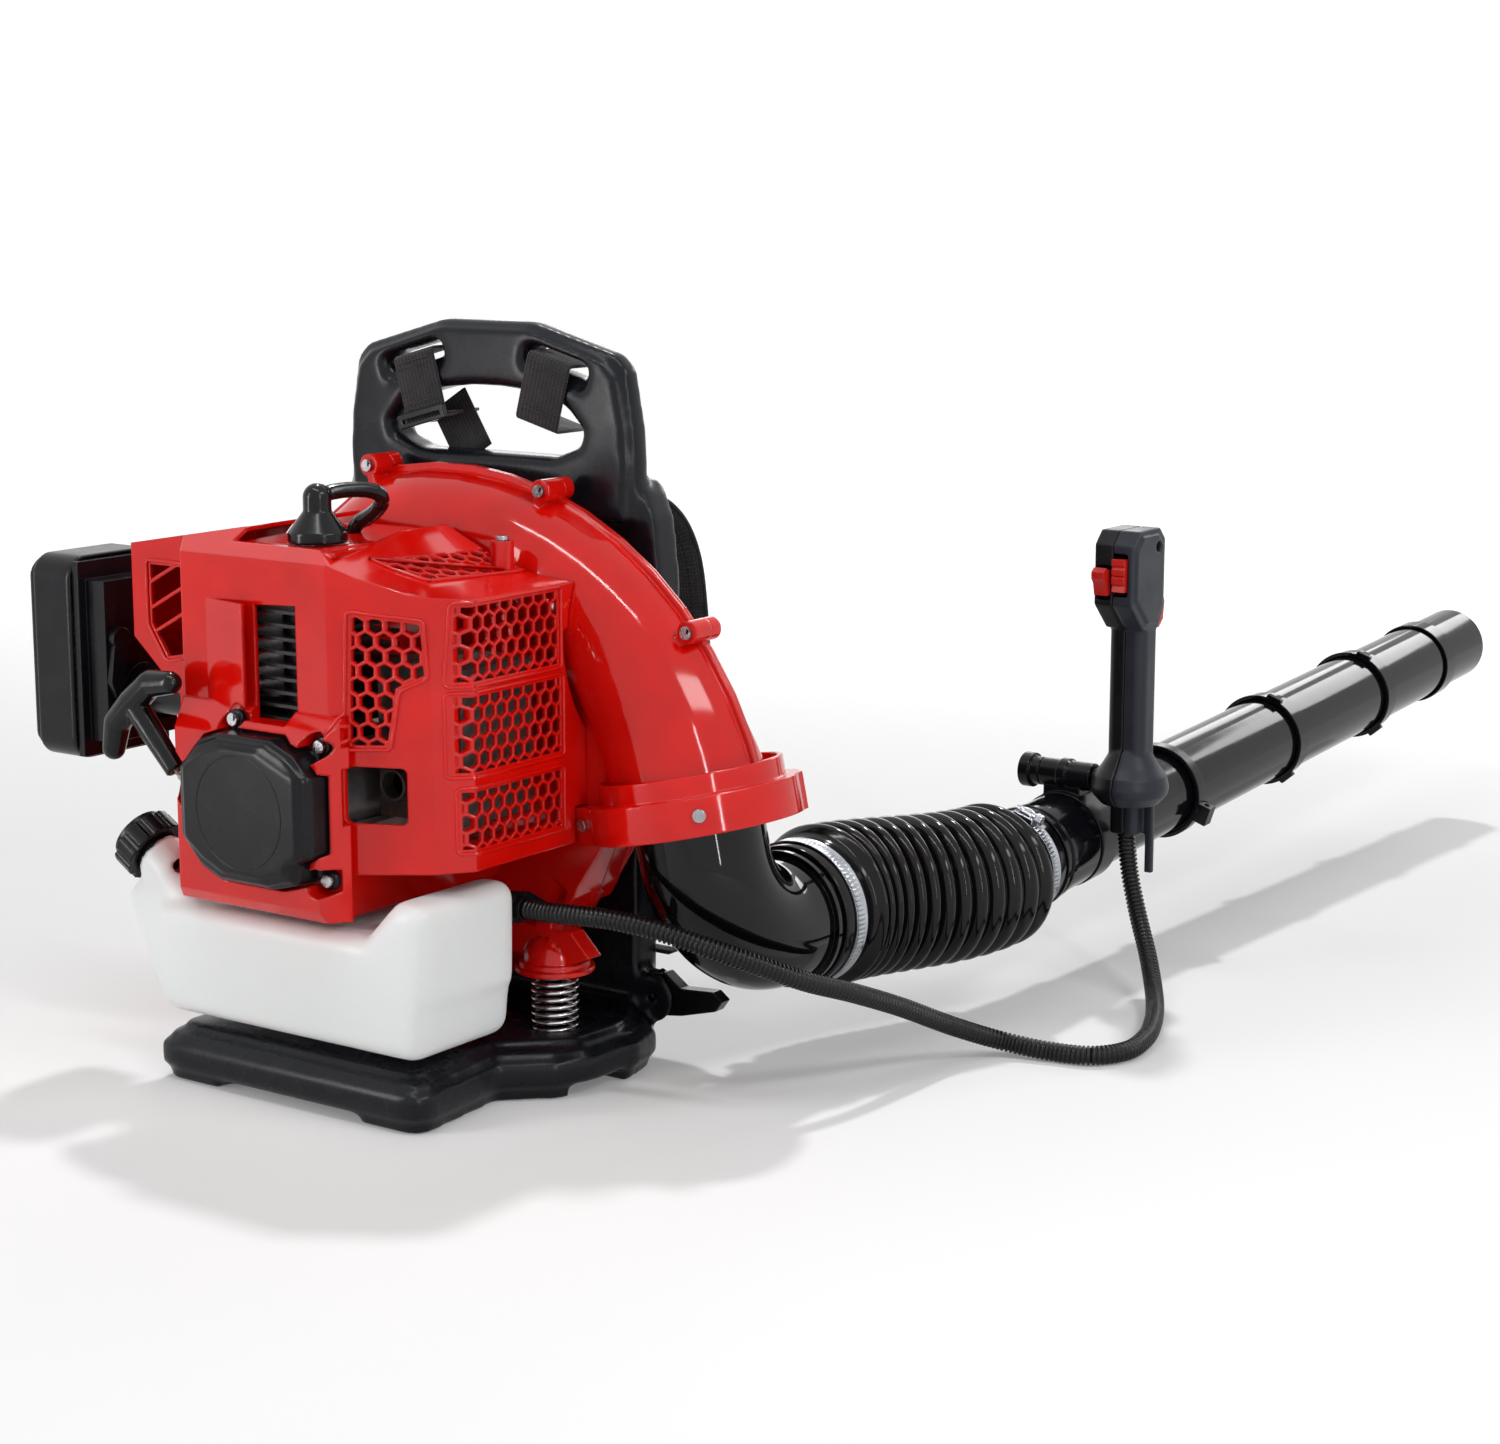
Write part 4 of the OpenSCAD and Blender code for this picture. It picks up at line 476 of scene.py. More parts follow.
# ---- throttle conduit ----
CONDUIT = mm([
    (120, -24, 132), (136, -24, 132), (156, -23, 133), (184, -18, 133), (216, -7, 128), (244, 11, 117),
    (267, 36, 103), (286, 67, 87), (300, 106, 72), (309, 154, 52), (319, 205, 28), (339, 240, 12),
    (371, 251, 7.2), (402, 259, 7.2), (417, 284, 7.2), (413, 320, 7.2), (400, 356, 7.2), (384, 390, 8),
    (369, 416, 15), (352, 438, 34), (335, 453, 60), (323, 461, 90), (319, 461.8, 120)])
CONDUIT_R = 7 * MM
CONDUIT_VALLEY = 5.7 * MM
CONDUIT_PITCH = 3.3 * MM
CONDUIT_STEPS = 24
CONDUIT_SIDES = 20
# Steps of the path that tells where a run lies
# The stretch between two places on the route, and the two bodies that it runs between
CONDUIT_RUNS = [
    ("conduit_at_gland", 0, 8, "powerhead", "elbow_hose"),
    ("conduit_beside_elbow", 8, 13, "elbow_hose", "hose_end"),
    ("conduit_under_hose", 13, 17, "hose_end", "tube"),
    ("conduit_to_handle", 17, 22, "tube", "handle"),
]
# One rib: (share of the pitch, share of the rib's height)
CONDUIT_RIB = [(0.0, 0), (0.22, 0), (0.34, 0.8), (0.5, 1), (0.72, 1), (0.88, 0.8)]


def make_conduit():
    line = Line(spline(CONDUIT, CONDUIT_STEPS))
    ribs = round(line.length / CONDUIT_PITCH)
    pitch = line.length / ribs
    for name, first, last, near, far in CONDUIT_RUNS:
        start, end = (round(line.at[i * CONDUIT_STEPS] / pitch) for i in (first, last))
        body = Mesh()
        rings = []
        for rib in range(start, end + 1):
            for share, rise in CONDUIT_RIB if rib < end else CONDUIT_RIB[:1]:
                radius = CONDUIT_VALLEY + (CONDUIT_R - CONDUIT_VALLEY) * rise
                rings.append(line.ring((rib + share) * pitch, circle(radius, CONDUIT_SIDES)))
        body.skin(rings)
        obj = dress(body.make(name), "conduit_plastic")
        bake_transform(obj)
        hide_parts("throttle_conduit")


make_conduit()


# ---- bellows ----
TUBE_RISE = math.radians(3.7)
TUBE_DIR = Vector((0, math.cos(TUBE_RISE), math.sin(TUBE_RISE)))
# Where the ribs start and end, and between them the points that steer the bend
BELL_A = Vector((221.25, 178, 106.3)) * MM
BELL_D = Vector((268, 350, 103.4)) * MM
BELL_B = BELL_A + Vector((0, 60, -2)) * MM
BELL_C = BELL_D - 60 * MM * TUBE_DIR
BELL_STEPS = 80
BELL_SIDES = 96
CUFF_FRONT_Y = 142 * MM
CUFF_R = 51 * MM
FRONT_BORE = 45.6 * MM
REAR_CUFF = 40 * MM
REAR_CUFF_R = 39.4 * MM
REAR_BORE = 34.6 * MM
RIBS = 13
# Radius of the first and the last crest
RIB_R = (59 * MM, 55 * MM)
RIB_DEPTH = 9 * MM
RIB_STEPS = 14
# Below 1, crests are broad and valleys narrow
RIB_POWER = 0.55


def bezier(f):
    """The bellows' centre line, f going from 0 to 1."""
    g = 1 - f
    return g ** 3 * BELL_A + 3 * g * g * f * BELL_B + 3 * g * f * f * BELL_C + f ** 3 * BELL_D


def make_bellows():
    curve = [Vector((BELL_A.x, CUFF_FRONT_Y, BELL_A.z))]
    curve += [bezier(k / BELL_STEPS) for k in range(BELL_STEPS + 1)]
    curve.append(BELL_D + TUBE_DIR * REAR_CUFF)
    line = Line(curve)
    ribs_at = line.at[1]
    ribs_end = line.at[-2]
    rim = 1.2 * MM
    outer = [(0.0, CUFF_R - rim), (0.3 * rim, CUFF_R - 0.3 * rim), (rim, CUFF_R),
             (ribs_at - 3 * rim, CUFF_R), (ribs_at - rim, CUFF_R - 0.6 * rim)]
    for k in range(1, RIBS * RIB_STEPS):
        f = k / (RIBS * RIB_STEPS)
        crest = RIB_R[0] + (RIB_R[1] - RIB_R[0]) * f
        swell = abs(math.sin(math.pi * k / RIB_STEPS)) ** RIB_POWER
        outer.append((ribs_at + (ribs_end - ribs_at) * f, crest - RIB_DEPTH * (1 - swell)))
    outer += [(ribs_end + rim, REAR_CUFF_R - 0.6 * rim), (ribs_end + 3 * rim, REAR_CUFF_R),
              (line.length - rim, REAR_CUFF_R), (line.length - 0.3 * rim, REAR_CUFF_R - 0.3 * rim),
              (line.length, REAR_CUFF_R - rim)]
    inner = [(line.length * f, FRONT_BORE + (REAR_BORE - FRONT_BORE) * min(1, max(0, (f - 0.15) / 0.65)))
             for f in (1, 0.85, 0.6, 0.4, 0.2, 0)]
    body = Mesh()
    body.skin([line.ring(s, circle(r, BELL_SIDES)) for s, r in outer + inner], loop=True)
    obj = dress(body.make("bellows_ribbed"), "hose_rubber")
    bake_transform(obj)
    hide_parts("bellows")


# ---- hose clamps ----
def make_clamp(name, centre, axis, radius, width, turn, body_name, replaced):
    """A slotted steel band with a worm housing and its hexagon screw."""
    band = 0.9 * MM
    slot_pitch = 3.4 * MM
    slot_depth = 0.55 * MM
    head_from = 17.1 * MM
    head_min_r = 4 * MM
    slots = round(2 * math.pi * radius / slot_pitch)
    columns = 4
    sides = slots * columns
    half = width / 2
    side, top = square_to(axis)
    out = side * math.sin(math.radians(turn)) + top * math.cos(math.radians(turn))
    along = axis.cross(out)

    def slotted(r, height, angle):
        column = round(angle / (2 * math.pi) * sides) % columns
        deep = r > radius + 0.5 * band and abs(height) < 0.3 * width and column < 2
        return r - (slot_depth if deep else 0)

    profile = [(radius, -half), (radius + 1.5 * band, -half), (radius + 1.5 * band, -half + 0.6 * MM),
               (radius + band, -half + 1.2 * MM), (radius + band, -0.31 * width),
               (radius + band, -0.27 * width), (radius + band, 0.27 * width),
               (radius + band, 0.31 * width), (radius + band, half - 1.2 * MM),
               (radius + 1.5 * band, half - 0.6 * MM), (radius + 1.5 * band, half), (radius, half)]
    body = Mesh()
    body.lathe(profile, centre, axis, sides, loop=True, lobes=slotted)
    seat = centre + out * (radius + 4.4 * MM)
    body.block(seat - out * 1.2 * MM, (along, axis, out), (17 * MM, width + 1 * MM, 5 * MM), 0.8 * MM)
    body.block(seat + out * 1.6 * MM, (along, axis, out), (12 * MM, width * 0.86, 6.4 * MM), 2.6 * MM)
    screw = [(r * MM, height * MM) for r, height in (
        (0.2, 0), (3.4, 0), (3.4, 17), (4.4, 17.2), (4.6, 17.8), (4.6, 22), (4.1, 22.8), (1.6, 22.8),
        (1.4, 21), (0.2, 21))]

    def hexagon(r, height, angle):
        if height < head_from or r < head_min_r:
            return r
        return r * math.cos(math.pi / 6) / math.cos(angle % (math.pi / 3) - math.pi / 6)

    body.lathe(screw, seat + out * 1.2 * MM - along * 9 * MM, along, 36, lobes=hexagon)
    obj = dress(body.make(name), "clamp_steel", body_name)
    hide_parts(replaced)
    soften(obj, 0.15 * MM, 40)


# ---- modifiers for carried-over nodes ----
def tool(obj, kind, **settings):
    """Adds a modifier with its settings."""
    modifier = obj.modifiers.new(kind.lower(), kind)
    for key, value in settings.items():
        setattr(modifier, key, value)
    return modifier


def smooth_group(name, limit):
    """Merges the corners that neighbouring CAD faces share, and shades smooth below an angle."""
    group = bpy.data.node_groups.new(name, "GeometryNodeTree")
    for way in ("INPUT", "OUTPUT"):
        group.interface.new_socket("Geometry", in_out=way, socket_type="NodeSocketGeometry")
    entry = group.nodes.new("NodeGroupInput")
    merge = group.nodes.new("GeometryNodeMergeByDistance")
    merge.inputs["Distance"].default_value = 1e-5
    angle = group.nodes.new("GeometryNodeInputMeshEdgeAngle")
    sharp = group.nodes.new("FunctionNodeCompare")
    sharp.operation = "GREATER_THAN"
    sharp.inputs[1].default_value = math.radians(limit)
    faces = group.nodes.new("GeometryNodeSetShadeSmooth")
    edges = group.nodes.new("GeometryNodeSetShadeSmooth")
    edges.domain = "EDGE"
    edges.inputs["Shade Smooth"].default_value = False
    leave = group.nodes.new("NodeGroupOutput")
    link = group.links.new
    link(entry.outputs[0], merge.inputs["Geometry"])
    link(merge.outputs[0], faces.inputs["Geometry"])
    link(faces.outputs[0], edges.inputs["Geometry"])
    link(angle.outputs["Unsigned Angle"], sharp.inputs[0])
    link(sharp.outputs[0], edges.inputs["Selection"])
    link(edges.outputs[0], leave.inputs[0])
    return group


SMOOTH = smooth_group("merge_and_smooth", 26)
CRISP = smooth_group("merge_and_crisp", 11)


def soften(obj, width, angle=35):
    """Real rounded edges on a piece, with flat faces kept flat."""
    tool(obj, "BEVEL", width=width, segments=2, limit_method="ANGLE",
         angle_limit=math.radians(angle), use_clamp_overlap=False, harden_normals=True)


# Voxel size and smoothing passes for the nodes that are soft mouldings all over
MOULDED = {
    "backpack_frame": (2.2 * MM, 20),
    "fuel_tank": (2.2 * MM, 22),
    "starter_housing": (1.3 * MM, 12),
    "starter_grip": (0.9 * MM, 5),
    "grip_left": (1.1 * MM, 5),
    "grip_right": (1.1 * MM, 5),
    "plug_boot_and_lead": (0.7 * MM, 4),
    "air_filter_cover": (1.3 * MM, 5),
}
# Edge widths for the nodes that keep their CAD faces
EDGES = {
    "outlet_collar": 0.7 * MM,
    "engine_bed": 0.8 * MM,
    "fuel_cap": 0.8 * MM,
    "strap_buckles": 0.8 * MM,
    "swivel_pipe": 0.8 * MM,
    "pipe_clamp": 0.6 * MM,
    "blow_pipe_rear": 0.8 * MM,
    "blow_pipe_middle": 0.8 * MM,
    "blow_pipe_front": 0.8 * MM,
    "nozzle": 0.7 * MM,
    "handle_bracket": 0.9 * MM,
    "tension_knob": 0.7 * MM,
    "throttle_trigger": 0.7 * MM,
    "stop_switch": 0.5 * MM,
    "filter_cover_knob": 0.6 * MM,
    "air_filter_base": 0.6 * MM,
    "muffler": 0.6 * MM,
    "body_screws": 0.4 * MM,
}


def dress_nodes():
    """Finishes and rounded edges for every CAD node."""
    for name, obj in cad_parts.items():
        for slot in obj.material_slots:
            slot.material = finishes[slot.material.name.split(".")[0]]
        normals = obj.data.attributes.get("custom_normal")
        if normals:
            obj.data.attributes.remove(normals)
        tool(obj, "NODES", node_group=CRISP if name == "engine_cover" else SMOOTH)
        if name in MOULDED:
            voxel, passes = MOULDED[name]
            tool(obj, "REMESH", mode="VOXEL", voxel_size=voxel, use_smooth_shade=True)
            tool(obj, "SMOOTH", factor=0.5, iterations=passes)
        elif name in EDGES:
            soften(obj, EDGES[name])


# ---- raised ring and rims ----
CRANK_Z = 210 * MM
STARTER_RING_R = 38.1 * MM
# The ring's section in millimetres: out from its radius, and depth from the housing's face
STARTER_RING = [(-0.9, 0.6), (-0.6, -0.15), (0, -0.4), (0.6, -0.15), (0.9, 0.6)]
# Outlines, in millimetres, of the engine cover's openings that have a raised rim
SIDE_PANELS = [[(-99, 298), (-96, 347), (0, 347), (0, 298)],
               [(-99, 238), (-99, 288), (2, 288), (2, 238)],
               [(-94, 187), (-94, 225), (2, 225), (2, 187)]]
FRONT_PANELS = [[(60, 255), (63, 340), (106, 336), (108, 303), (90, 294), (84, 256)],
                [(56, 203), (56, 241), (96, 241), (96, 203)],
                [(-137, 357), (-108, 357), (-108, 297), (-122, 294), (-137, 316)]]
TOP_PANEL = [(50, -90), (84, -78), (92, 10), (58, 16)]
# In millimetres, as the outlines are: the rim outside its opening, and the points along it
RIM_OUT = 3
RIM_STEP = 2
RIM_R = 1.3 * MM
RIM_LIFT = 0.6 * MM
# A point further than this from the last one has fallen through onto another wall
RIM_JUMP = 9 * MM


def make_starter_ring():
    """The thin raised circle on the face of the starter housing."""
    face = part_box("starter_housing")[0].y
    body = Mesh()
    body.lathe([(STARTER_RING_R + out * MM, depth * MM) for out, depth in STARTER_RING],
               Vector((0, face, CRANK_Z)), Y, 96, loop=True)
    dress(body.make("starter_ring"), "satin_black", "powerhead")


def grown(outline, by):
    """An outline of (u, v) pairs, pushed outwards."""
    around = list(zip(outline, outline[1:] + outline[:1]))
    turn = 1 if sum(a[0] * b[1] - b[0] * a[1] for a, b in around) > 0 else -1
    ways = [(Vector(b) - Vector(a)).normalized() for a, b in around]
    outs = [Vector((way.y, -way.x)) * turn for way in ways]
    return [Vector(p) + (outs[i - 1] + outs[i]) * by / (1 + outs[i - 1].dot(outs[i]))
            for i, p in enumerate(outline)]


def traced(obj, outline, place, towards):
    """Points round an outline, dropped onto a piece from 1 m off; place puts (u, v) in space."""
    points = []
    for a, b in zip(outline, outline[1:] + outline[:1]):
        count = max(2, round((b - a).length / RIM_STEP))
        for k in range(1, count):
            start = place(a.lerp(b, k / count)) * MM - towards
            hit, spot, _, _ = obj.ray_cast(start, towards)
            if hit and (not points or (spot - points[-1]).length < RIM_JUMP):
                points.append(spot)
    return [spot - towards * RIM_LIFT for spot in points]


def make_cover_rims():
    """A raised bead round each opening of the engine cover."""
    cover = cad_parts["engine_cover"]
    sides = [(panel, lambda p: Vector((0, p.x, p.y)), -X) for panel in SIDE_PANELS]
    sides += [(panel, lambda p: Vector((p.x, 0, p.y)), Y) for panel in FRONT_PANELS]
    sides.append((TOP_PANEL, lambda p: Vector((p.x, p.y, 0)), -Z))
    body = Mesh()
    for panel, place, towards in sides:
        run = traced(cover, grown(panel, RIM_OUT), place, towards)
        body.skin(loop_rings(run, RIM_R, 10), loop=True)
    dress(body.make("cover_rims"), "red_plastic", "powerhead")


# ---- springs, buffers, rope ----
SPRING_AT = (109 * MM, 20 * MM)
SPRING_Z = (32 * MM, 78 * MM)
COIL_R = 15.4 * MM
WIRE_R = 1.5 * MM
COILS = 8
COIL_STEPS = 40


def make_springs():
    rise = SPRING_Z[1] - SPRING_Z[0] - 2 * WIRE_R
    body = Mesh()
    for side in (-1, 1):
        points = []
        for k in range(COILS * COIL_STEPS + 1):
            angle = side * 2 * math.pi * k / COIL_STEPS
            points.append(Vector((side * (SPRING_AT[0] + COIL_R * math.cos(angle)),
                                  SPRING_AT[1] + COIL_R * math.sin(angle),
                                  SPRING_Z[0] + WIRE_R + rise * k / (COILS * COIL_STEPS))))
        line = Line(points)
        body.skin([line.ring(s, circle(WIRE_R, 12)) for s in line.at])
    obj = dress(body.make("springs_chromed"), "spring_steel")
    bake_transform(obj)
    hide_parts("mount_springs")


def make_buffers():
    low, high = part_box("rear_buffers")
    radius = (high.z - low.z) / 2
    length = high.y - low.y
    soft = 1 * MM
    waist = radius * 0.8
    profile = [(radius - soft, 0), (radius, soft), (radius, 0.2 * length), (waist, 0.35 * length),
               (waist, 0.65 * length), (radius, 0.8 * length), (radius, length - soft),
               (radius - soft, length)]
    body = Mesh()
    for x in (low.x + radius, high.x - radius):
        body.lathe(profile, Vector((x, low.y, (low.z + high.z) / 2)), Y, 32)
    obj = dress(body.make("buffers_waisted"), "buffer_rubber")
    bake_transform(obj)
    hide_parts("rear_buffers")


ROPE_START = Vector((-44, -157, 196)) * MM
ROPE_DIR = Matrix.Rotation(math.radians(-42), 3, "Y") @ Z
ROPE_R = 1.8 * MM
STRAND_DEPTH = 0.3 * MM
ROPE_LAY = 11 * MM
# Along the rope, in millimetres: its end in the housing and its end in the grip
ROPE_ENDS = (-6, 47)


def make_rope():
    """The laid rope between the starter housing and the grip, twisted from three strands."""
    line = Line([ROPE_START + ROPE_DIR * (z * MM) for z in range(ROPE_ENDS[0], ROPE_ENDS[1] + 1)], Y)
    steps = 110
    body = Mesh()
    body.skin([line.ring(s, circle(ROPE_R - STRAND_DEPTH, 18, 2 * math.pi * s / ROPE_LAY, 3, STRAND_DEPTH))
               for s in (line.length * k / steps for k in range(steps + 1))])
    obj = dress(body.make("rope_laid"), "rope_cord")
    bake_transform(obj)
    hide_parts("starter_rope")


# ---- back pad ----
# Heights of the sewn channels, as shares of the pad's height
PAD_CHANNELS = (0.24, 0.5, 0.76)
CHANNEL_W = 5 * MM
CHANNEL_DEPTH = 7 * MM
# The channels deepen between these shares of the thickness, counted from the frame
CHANNEL_FADE = (0.4, 0.8)
PAD_CORNER = 22 * MM
PAD_VOXEL = 5 * MM
PAD_SWELL = 7 * MM
# How far the swollen pad may stand past its CAD solid, to the sides and towards the wearer
PAD_PROUD = 3 * MM
PAD_CROWN = 6 * MM
STITCH = 2.6 * MM
CLOTH_FRAMES = 20


def pillow_grid(low, high, inset):
    """A closed box of small quads, its edges drawn in a little, to be swollen into a pad."""
    body = Mesh()
    rings = []
    for depth, pull in ((0.0, 5 * MM), (0.1, 1 * MM), (0.5, 0), (0.85, 2 * MM), (1.0, 7 * MM)):
        half_w = (high.x - low.x) / 2 - inset - pull
        half_h = (high.z - low.z) / 2 - inset - pull
        y = low.y + (high.y - low.y - inset) * depth
        rings.append([Vector((x, y, (low.z + high.z) / 2 + z))
                      for x, z in rounded_outline(half_w, half_h, PAD_CORNER, 8)])
    body.skin(rings)
    return body


def swell(obj, pressure, cap):
    """Cloth with inner pressure; no point moves further than cap."""
    start = [v.co.copy() for v in obj.data.vertices]
    cloth = obj.modifiers.new("swell", "CLOTH")
    cloth.settings.use_pressure = True
    cloth.settings.uniform_pressure_force = pressure
    cloth.settings.effector_weights.gravity = 0
    cloth.point_cache.frame_end = CLOTH_FRAMES
    scene = bpy.context.scene
    for number in range(1, CLOTH_FRAMES + 1):
        scene.frame_set(number)
    shape = obj.evaluated_get(bpy.context.evaluated_depsgraph_get())
    moved = [v.co.copy() for v in shape.data.vertices]
    obj.modifiers.remove(cloth)
    scene.frame_set(1)
    for vertex, old, new in zip(obj.data.vertices, start, moved):
        way = new - old
        vertex.co = old + way * min(1, cap / max(way.length, 1e-9))


def bake_modifiers(obj):
    """Puts the result of a piece's modifiers in its mesh."""
    shape = obj.evaluated_get(bpy.context.evaluated_depsgraph_get())
    obj.data = bpy.data.meshes.new_from_object(shape)
    obj.modifiers.clear()


def press_channels(obj, low, high):
    """Draws the sewn channels in, and keeps the pad within reach of its CAD solid."""
    height = high.z - low.z
    start, full = CHANNEL_FADE
    for vertex in obj.data.vertices:
        p = vertex.co
        lift = (p.y - low.y) / (high.y - low.y)
        if lift > start:
            for share in PAD_CHANNELS:
                gap = (p.z - low.z - share * height) / CHANNEL_W
                p.y -= CHANNEL_DEPTH * math.exp(-gap * gap) * min(1, (lift - start) / (full - start))
        p.y = max(low.y + 0.3 * MM, min(p.y, high.y + PAD_CROWN))
        p.x = max(low.x - PAD_PROUD, min(p.x, high.x + PAD_PROUD))
        p.z = max(low.z - PAD_PROUD, min(p.z, high.z + PAD_PROUD))


def make_back_pad():
    low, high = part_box("back_pad")
    obj = pillow_grid(low, high, 3 * MM).make("back_pad_quilted")
    tool(obj, "REMESH", mode="VOXEL", voxel_size=PAD_VOXEL)
    tool(obj, "SMOOTH", factor=0.5, iterations=3)
    bake_modifiers(obj)
    swell(obj, 4, PAD_SWELL)
    tool(obj, "SUBSURF", levels=1, render_levels=1)
    bake_modifiers(obj)
    press_channels(obj, low, high)
    shade_smooth(obj.data)
    store_weave(obj, [(v.co.x, v.co.z, v.co.y) for v in obj.data.vertices])
    dress(obj, "pad_fabric", "frame")
    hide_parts("back_pad")
    height = high.z - low.z
    inset = 0.5 * MM
    outline = rounded_outline((high.x - low.x) / 2 - inset, height / 2 - inset, PAD_CORNER, 10)
    edge = [Vector((x, low.y + 9 * MM, (low.z + high.z) / 2 + z)) for x, z in outline]
    piping = Mesh()
    piping.skin(loop_rings(edge, 2.2 * MM, 10), loop=True)
    dress(piping.make("back_pad_piping"), "webbing", "frame")
    rows = Mesh()
    for share in PAD_CHANNELS:
        z = low.z + share * height
        surface = [nearest_front(obj, x * MM, z) for x in range(-70, 71, 4)]
        stitches(rows, surface, STITCH, Y)
    dress(rows.make("back_pad_stitching"), "webbing", "frame")


def nearest_front(obj, x, z):
    """The outermost point of a piece in +Y at x, z."""
    hit, place, _, _ = obj.ray_cast(Vector((x, 1, z)), -Y)
    return place if hit else Vector((x, 0, z))


def stitches(body, points, length, out):
    """Short threads laid along points, each rounded at its ends."""
    radius = 0.45 * MM
    for a, b in zip(points, points[1:]):
        way = (b - a).normalized()
        middle = (a + b) / 2 + out * 0.2 * MM
        side, top = square_to(way, out)
        rings = []
        for share, size in ((-0.5, 0.35), (-0.35, 0.9), (0.0, 1.0), (0.35, 0.9), (0.5, 0.35)):
            centre = middle + way * length * share
            rings.append([centre + (side * x + top * y) * size for x, y in circle(radius, 6)])
        body.skin(rings)


# ---- shoulder straps ----
STRAP_ROUTE = mm([(74, 128, 376), (76, 140, 388), (82, 152, 388), (90, 162, 374), (99, 167, 350),
                  (103, 169, 316), (106, 169, 270), (109, 166, 220), (114, 160, 170), (119, 151, 130),
                  (122, 142, 102), (122, 134, 84)])
STRAP_W = 56 * MM
STRAP_T = 12 * MM
STRAP_TUFT = 46 * MM
STRAP_STEPS = 150


def strap_places():
    """Length, point, side and top along the right strap; its side lies as near to X as it can."""
    line = Line(spline(STRAP_ROUTE, 12))
    places = []
    for s in (line.length * k / STRAP_STEPS for k in range(STRAP_STEPS + 1)):
        point, way, _, _ = line.frame(s)
        side = (X - way * X.dot(way)).normalized()
        places.append((s, point, side, side.cross(way)))
    return line.length, places


def strap_half_width(end):
    """Half the strap's width at a distance from its nearer end, where it narrows."""
    return STRAP_W / 2 * (0.62 + 0.38 * min(1, end / (24 * MM)) ** 0.5)


def make_strap(name, replaced, flip):
    """One strap: a tufted pad, bound edges and rows of stitches. flip mirrors it to the left."""
    length, places = strap_places()
    turned = Matrix.Diagonal((-1, 1, 1)) if flip else Matrix.Identity(3)
    body = Mesh()
    rings = []
    weave = []
    for s, point, side, top in places:
        end = min(s, length - s)
        width = strap_half_width(end)
        sewn = math.exp(-((s % STRAP_TUFT - STRAP_TUFT / 2) / (3 * MM)) ** 2)
        thick = STRAP_T / 2 * (0.45 + 0.55 * min(1, end / (16 * MM)) ** 0.5) * (1 - 0.42 * sewn)
        ring = []
        for k in range(32):
            angle = 2 * math.pi * k / 32
            c, d = math.cos(angle), math.sin(angle)
            x = math.copysign(abs(c) ** 0.75, c) * width
            y = math.copysign(abs(d) ** 0.8, d) * thick
            ring.append(turned @ (point + side * x + top * y))
            weave.append((x, s, y))
        rings.append(ring)
    body.skin(rings)
    pad = body.make(name + "_padded")
    store_weave(pad, weave)
    dress(pad, "pad_fabric", "frame")
    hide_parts(replaced)
    binding = Mesh()
    for edge in (-1, 1):
        run = []
        for s, point, side, _ in places[6:-6]:
            run.append(turned @ (point + side * edge * strap_half_width(min(s, length - s))))
        line = Line(run, Y)
        binding.skin([line.ring(s, circle(1.7 * MM, 8)) for s in line.at])
    dress(binding.make(name + "_binding"), "webbing", "frame")
    seams = Mesh()
    for edge in (-1, 1):
        for face in (-1, 1):
            run = [turned @ (point + side * edge * (STRAP_W / 2 - 7 * MM) + top * face * STRAP_T / 2 * 0.83)
                   for _, point, side, top in places[14:-14:2]]
            stitches(seams, run, STITCH, Y * face)
    dress(seams.make(name + "_stitching"), "webbing", "frame")


# ---- webbing ----
SLOT_AT = Vector((65, 0, 492)) * MM
SLOT_TURN = Matrix.Rotation(math.radians(15), 3, "Y")
WEB_T = 2.4 * MM
WEB_W = 38 * MM
WINDOW_WEB_W = 36 * MM
TAB_W = 24 * MM
# The fold through a slot, in millimetres from the slot, and the heights of the seams across it
WEB_FOLD = [(-3, 116, -46.2), (-3, 79.8, -46.2), (-3, 79.8, 1.2), (-3, 106, 1.2)]
WEB_SEAMS = (-38, -34, -8, -4)
SEAM_Y = 78.5
# The tab at the foot and the strip across the arch's window, in millimetres
WEB_TAB = [(122, y, 71.2) for y in (120, 124, 128, 132)]
WINDOW_WEB = [(-47, 100.2, 460), (-23, 100.2, 421)]


def ribbon(body, weave, path, across, width):
    """A woven strip with rounded edges along a path; across is its width's direction."""
    line = Line(path)
    rings = []
    section = rounded_outline(width / 2, WEB_T / 2, WEB_T / 2, 3)
    for s in line.at:
        point, way, _, _ = line.frame(s)
        side = (across - way * across.dot(way)).normalized()
        top = side.cross(way)
        rings.append([point + side * x + top * y for x, y in section])
        weave += [(x, s, y) for x, y in section]
    body.skin(rings)


def round_corners(corners, radius):
    """A path through corners, each turned with a small arc."""
    steps = 6
    path = [corners[0]]
    for a, b, c in zip(corners, corners[1:], corners[2:]):
        start = b + (a - b).normalized() * radius
        end = b + (c - b).normalized() * radius
        for k in range(steps + 1):
            f = k / steps
            path.append((1 - f) ** 2 * start + 2 * f * (1 - f) * b + f * f * end)
    return path + [corners[-1]]


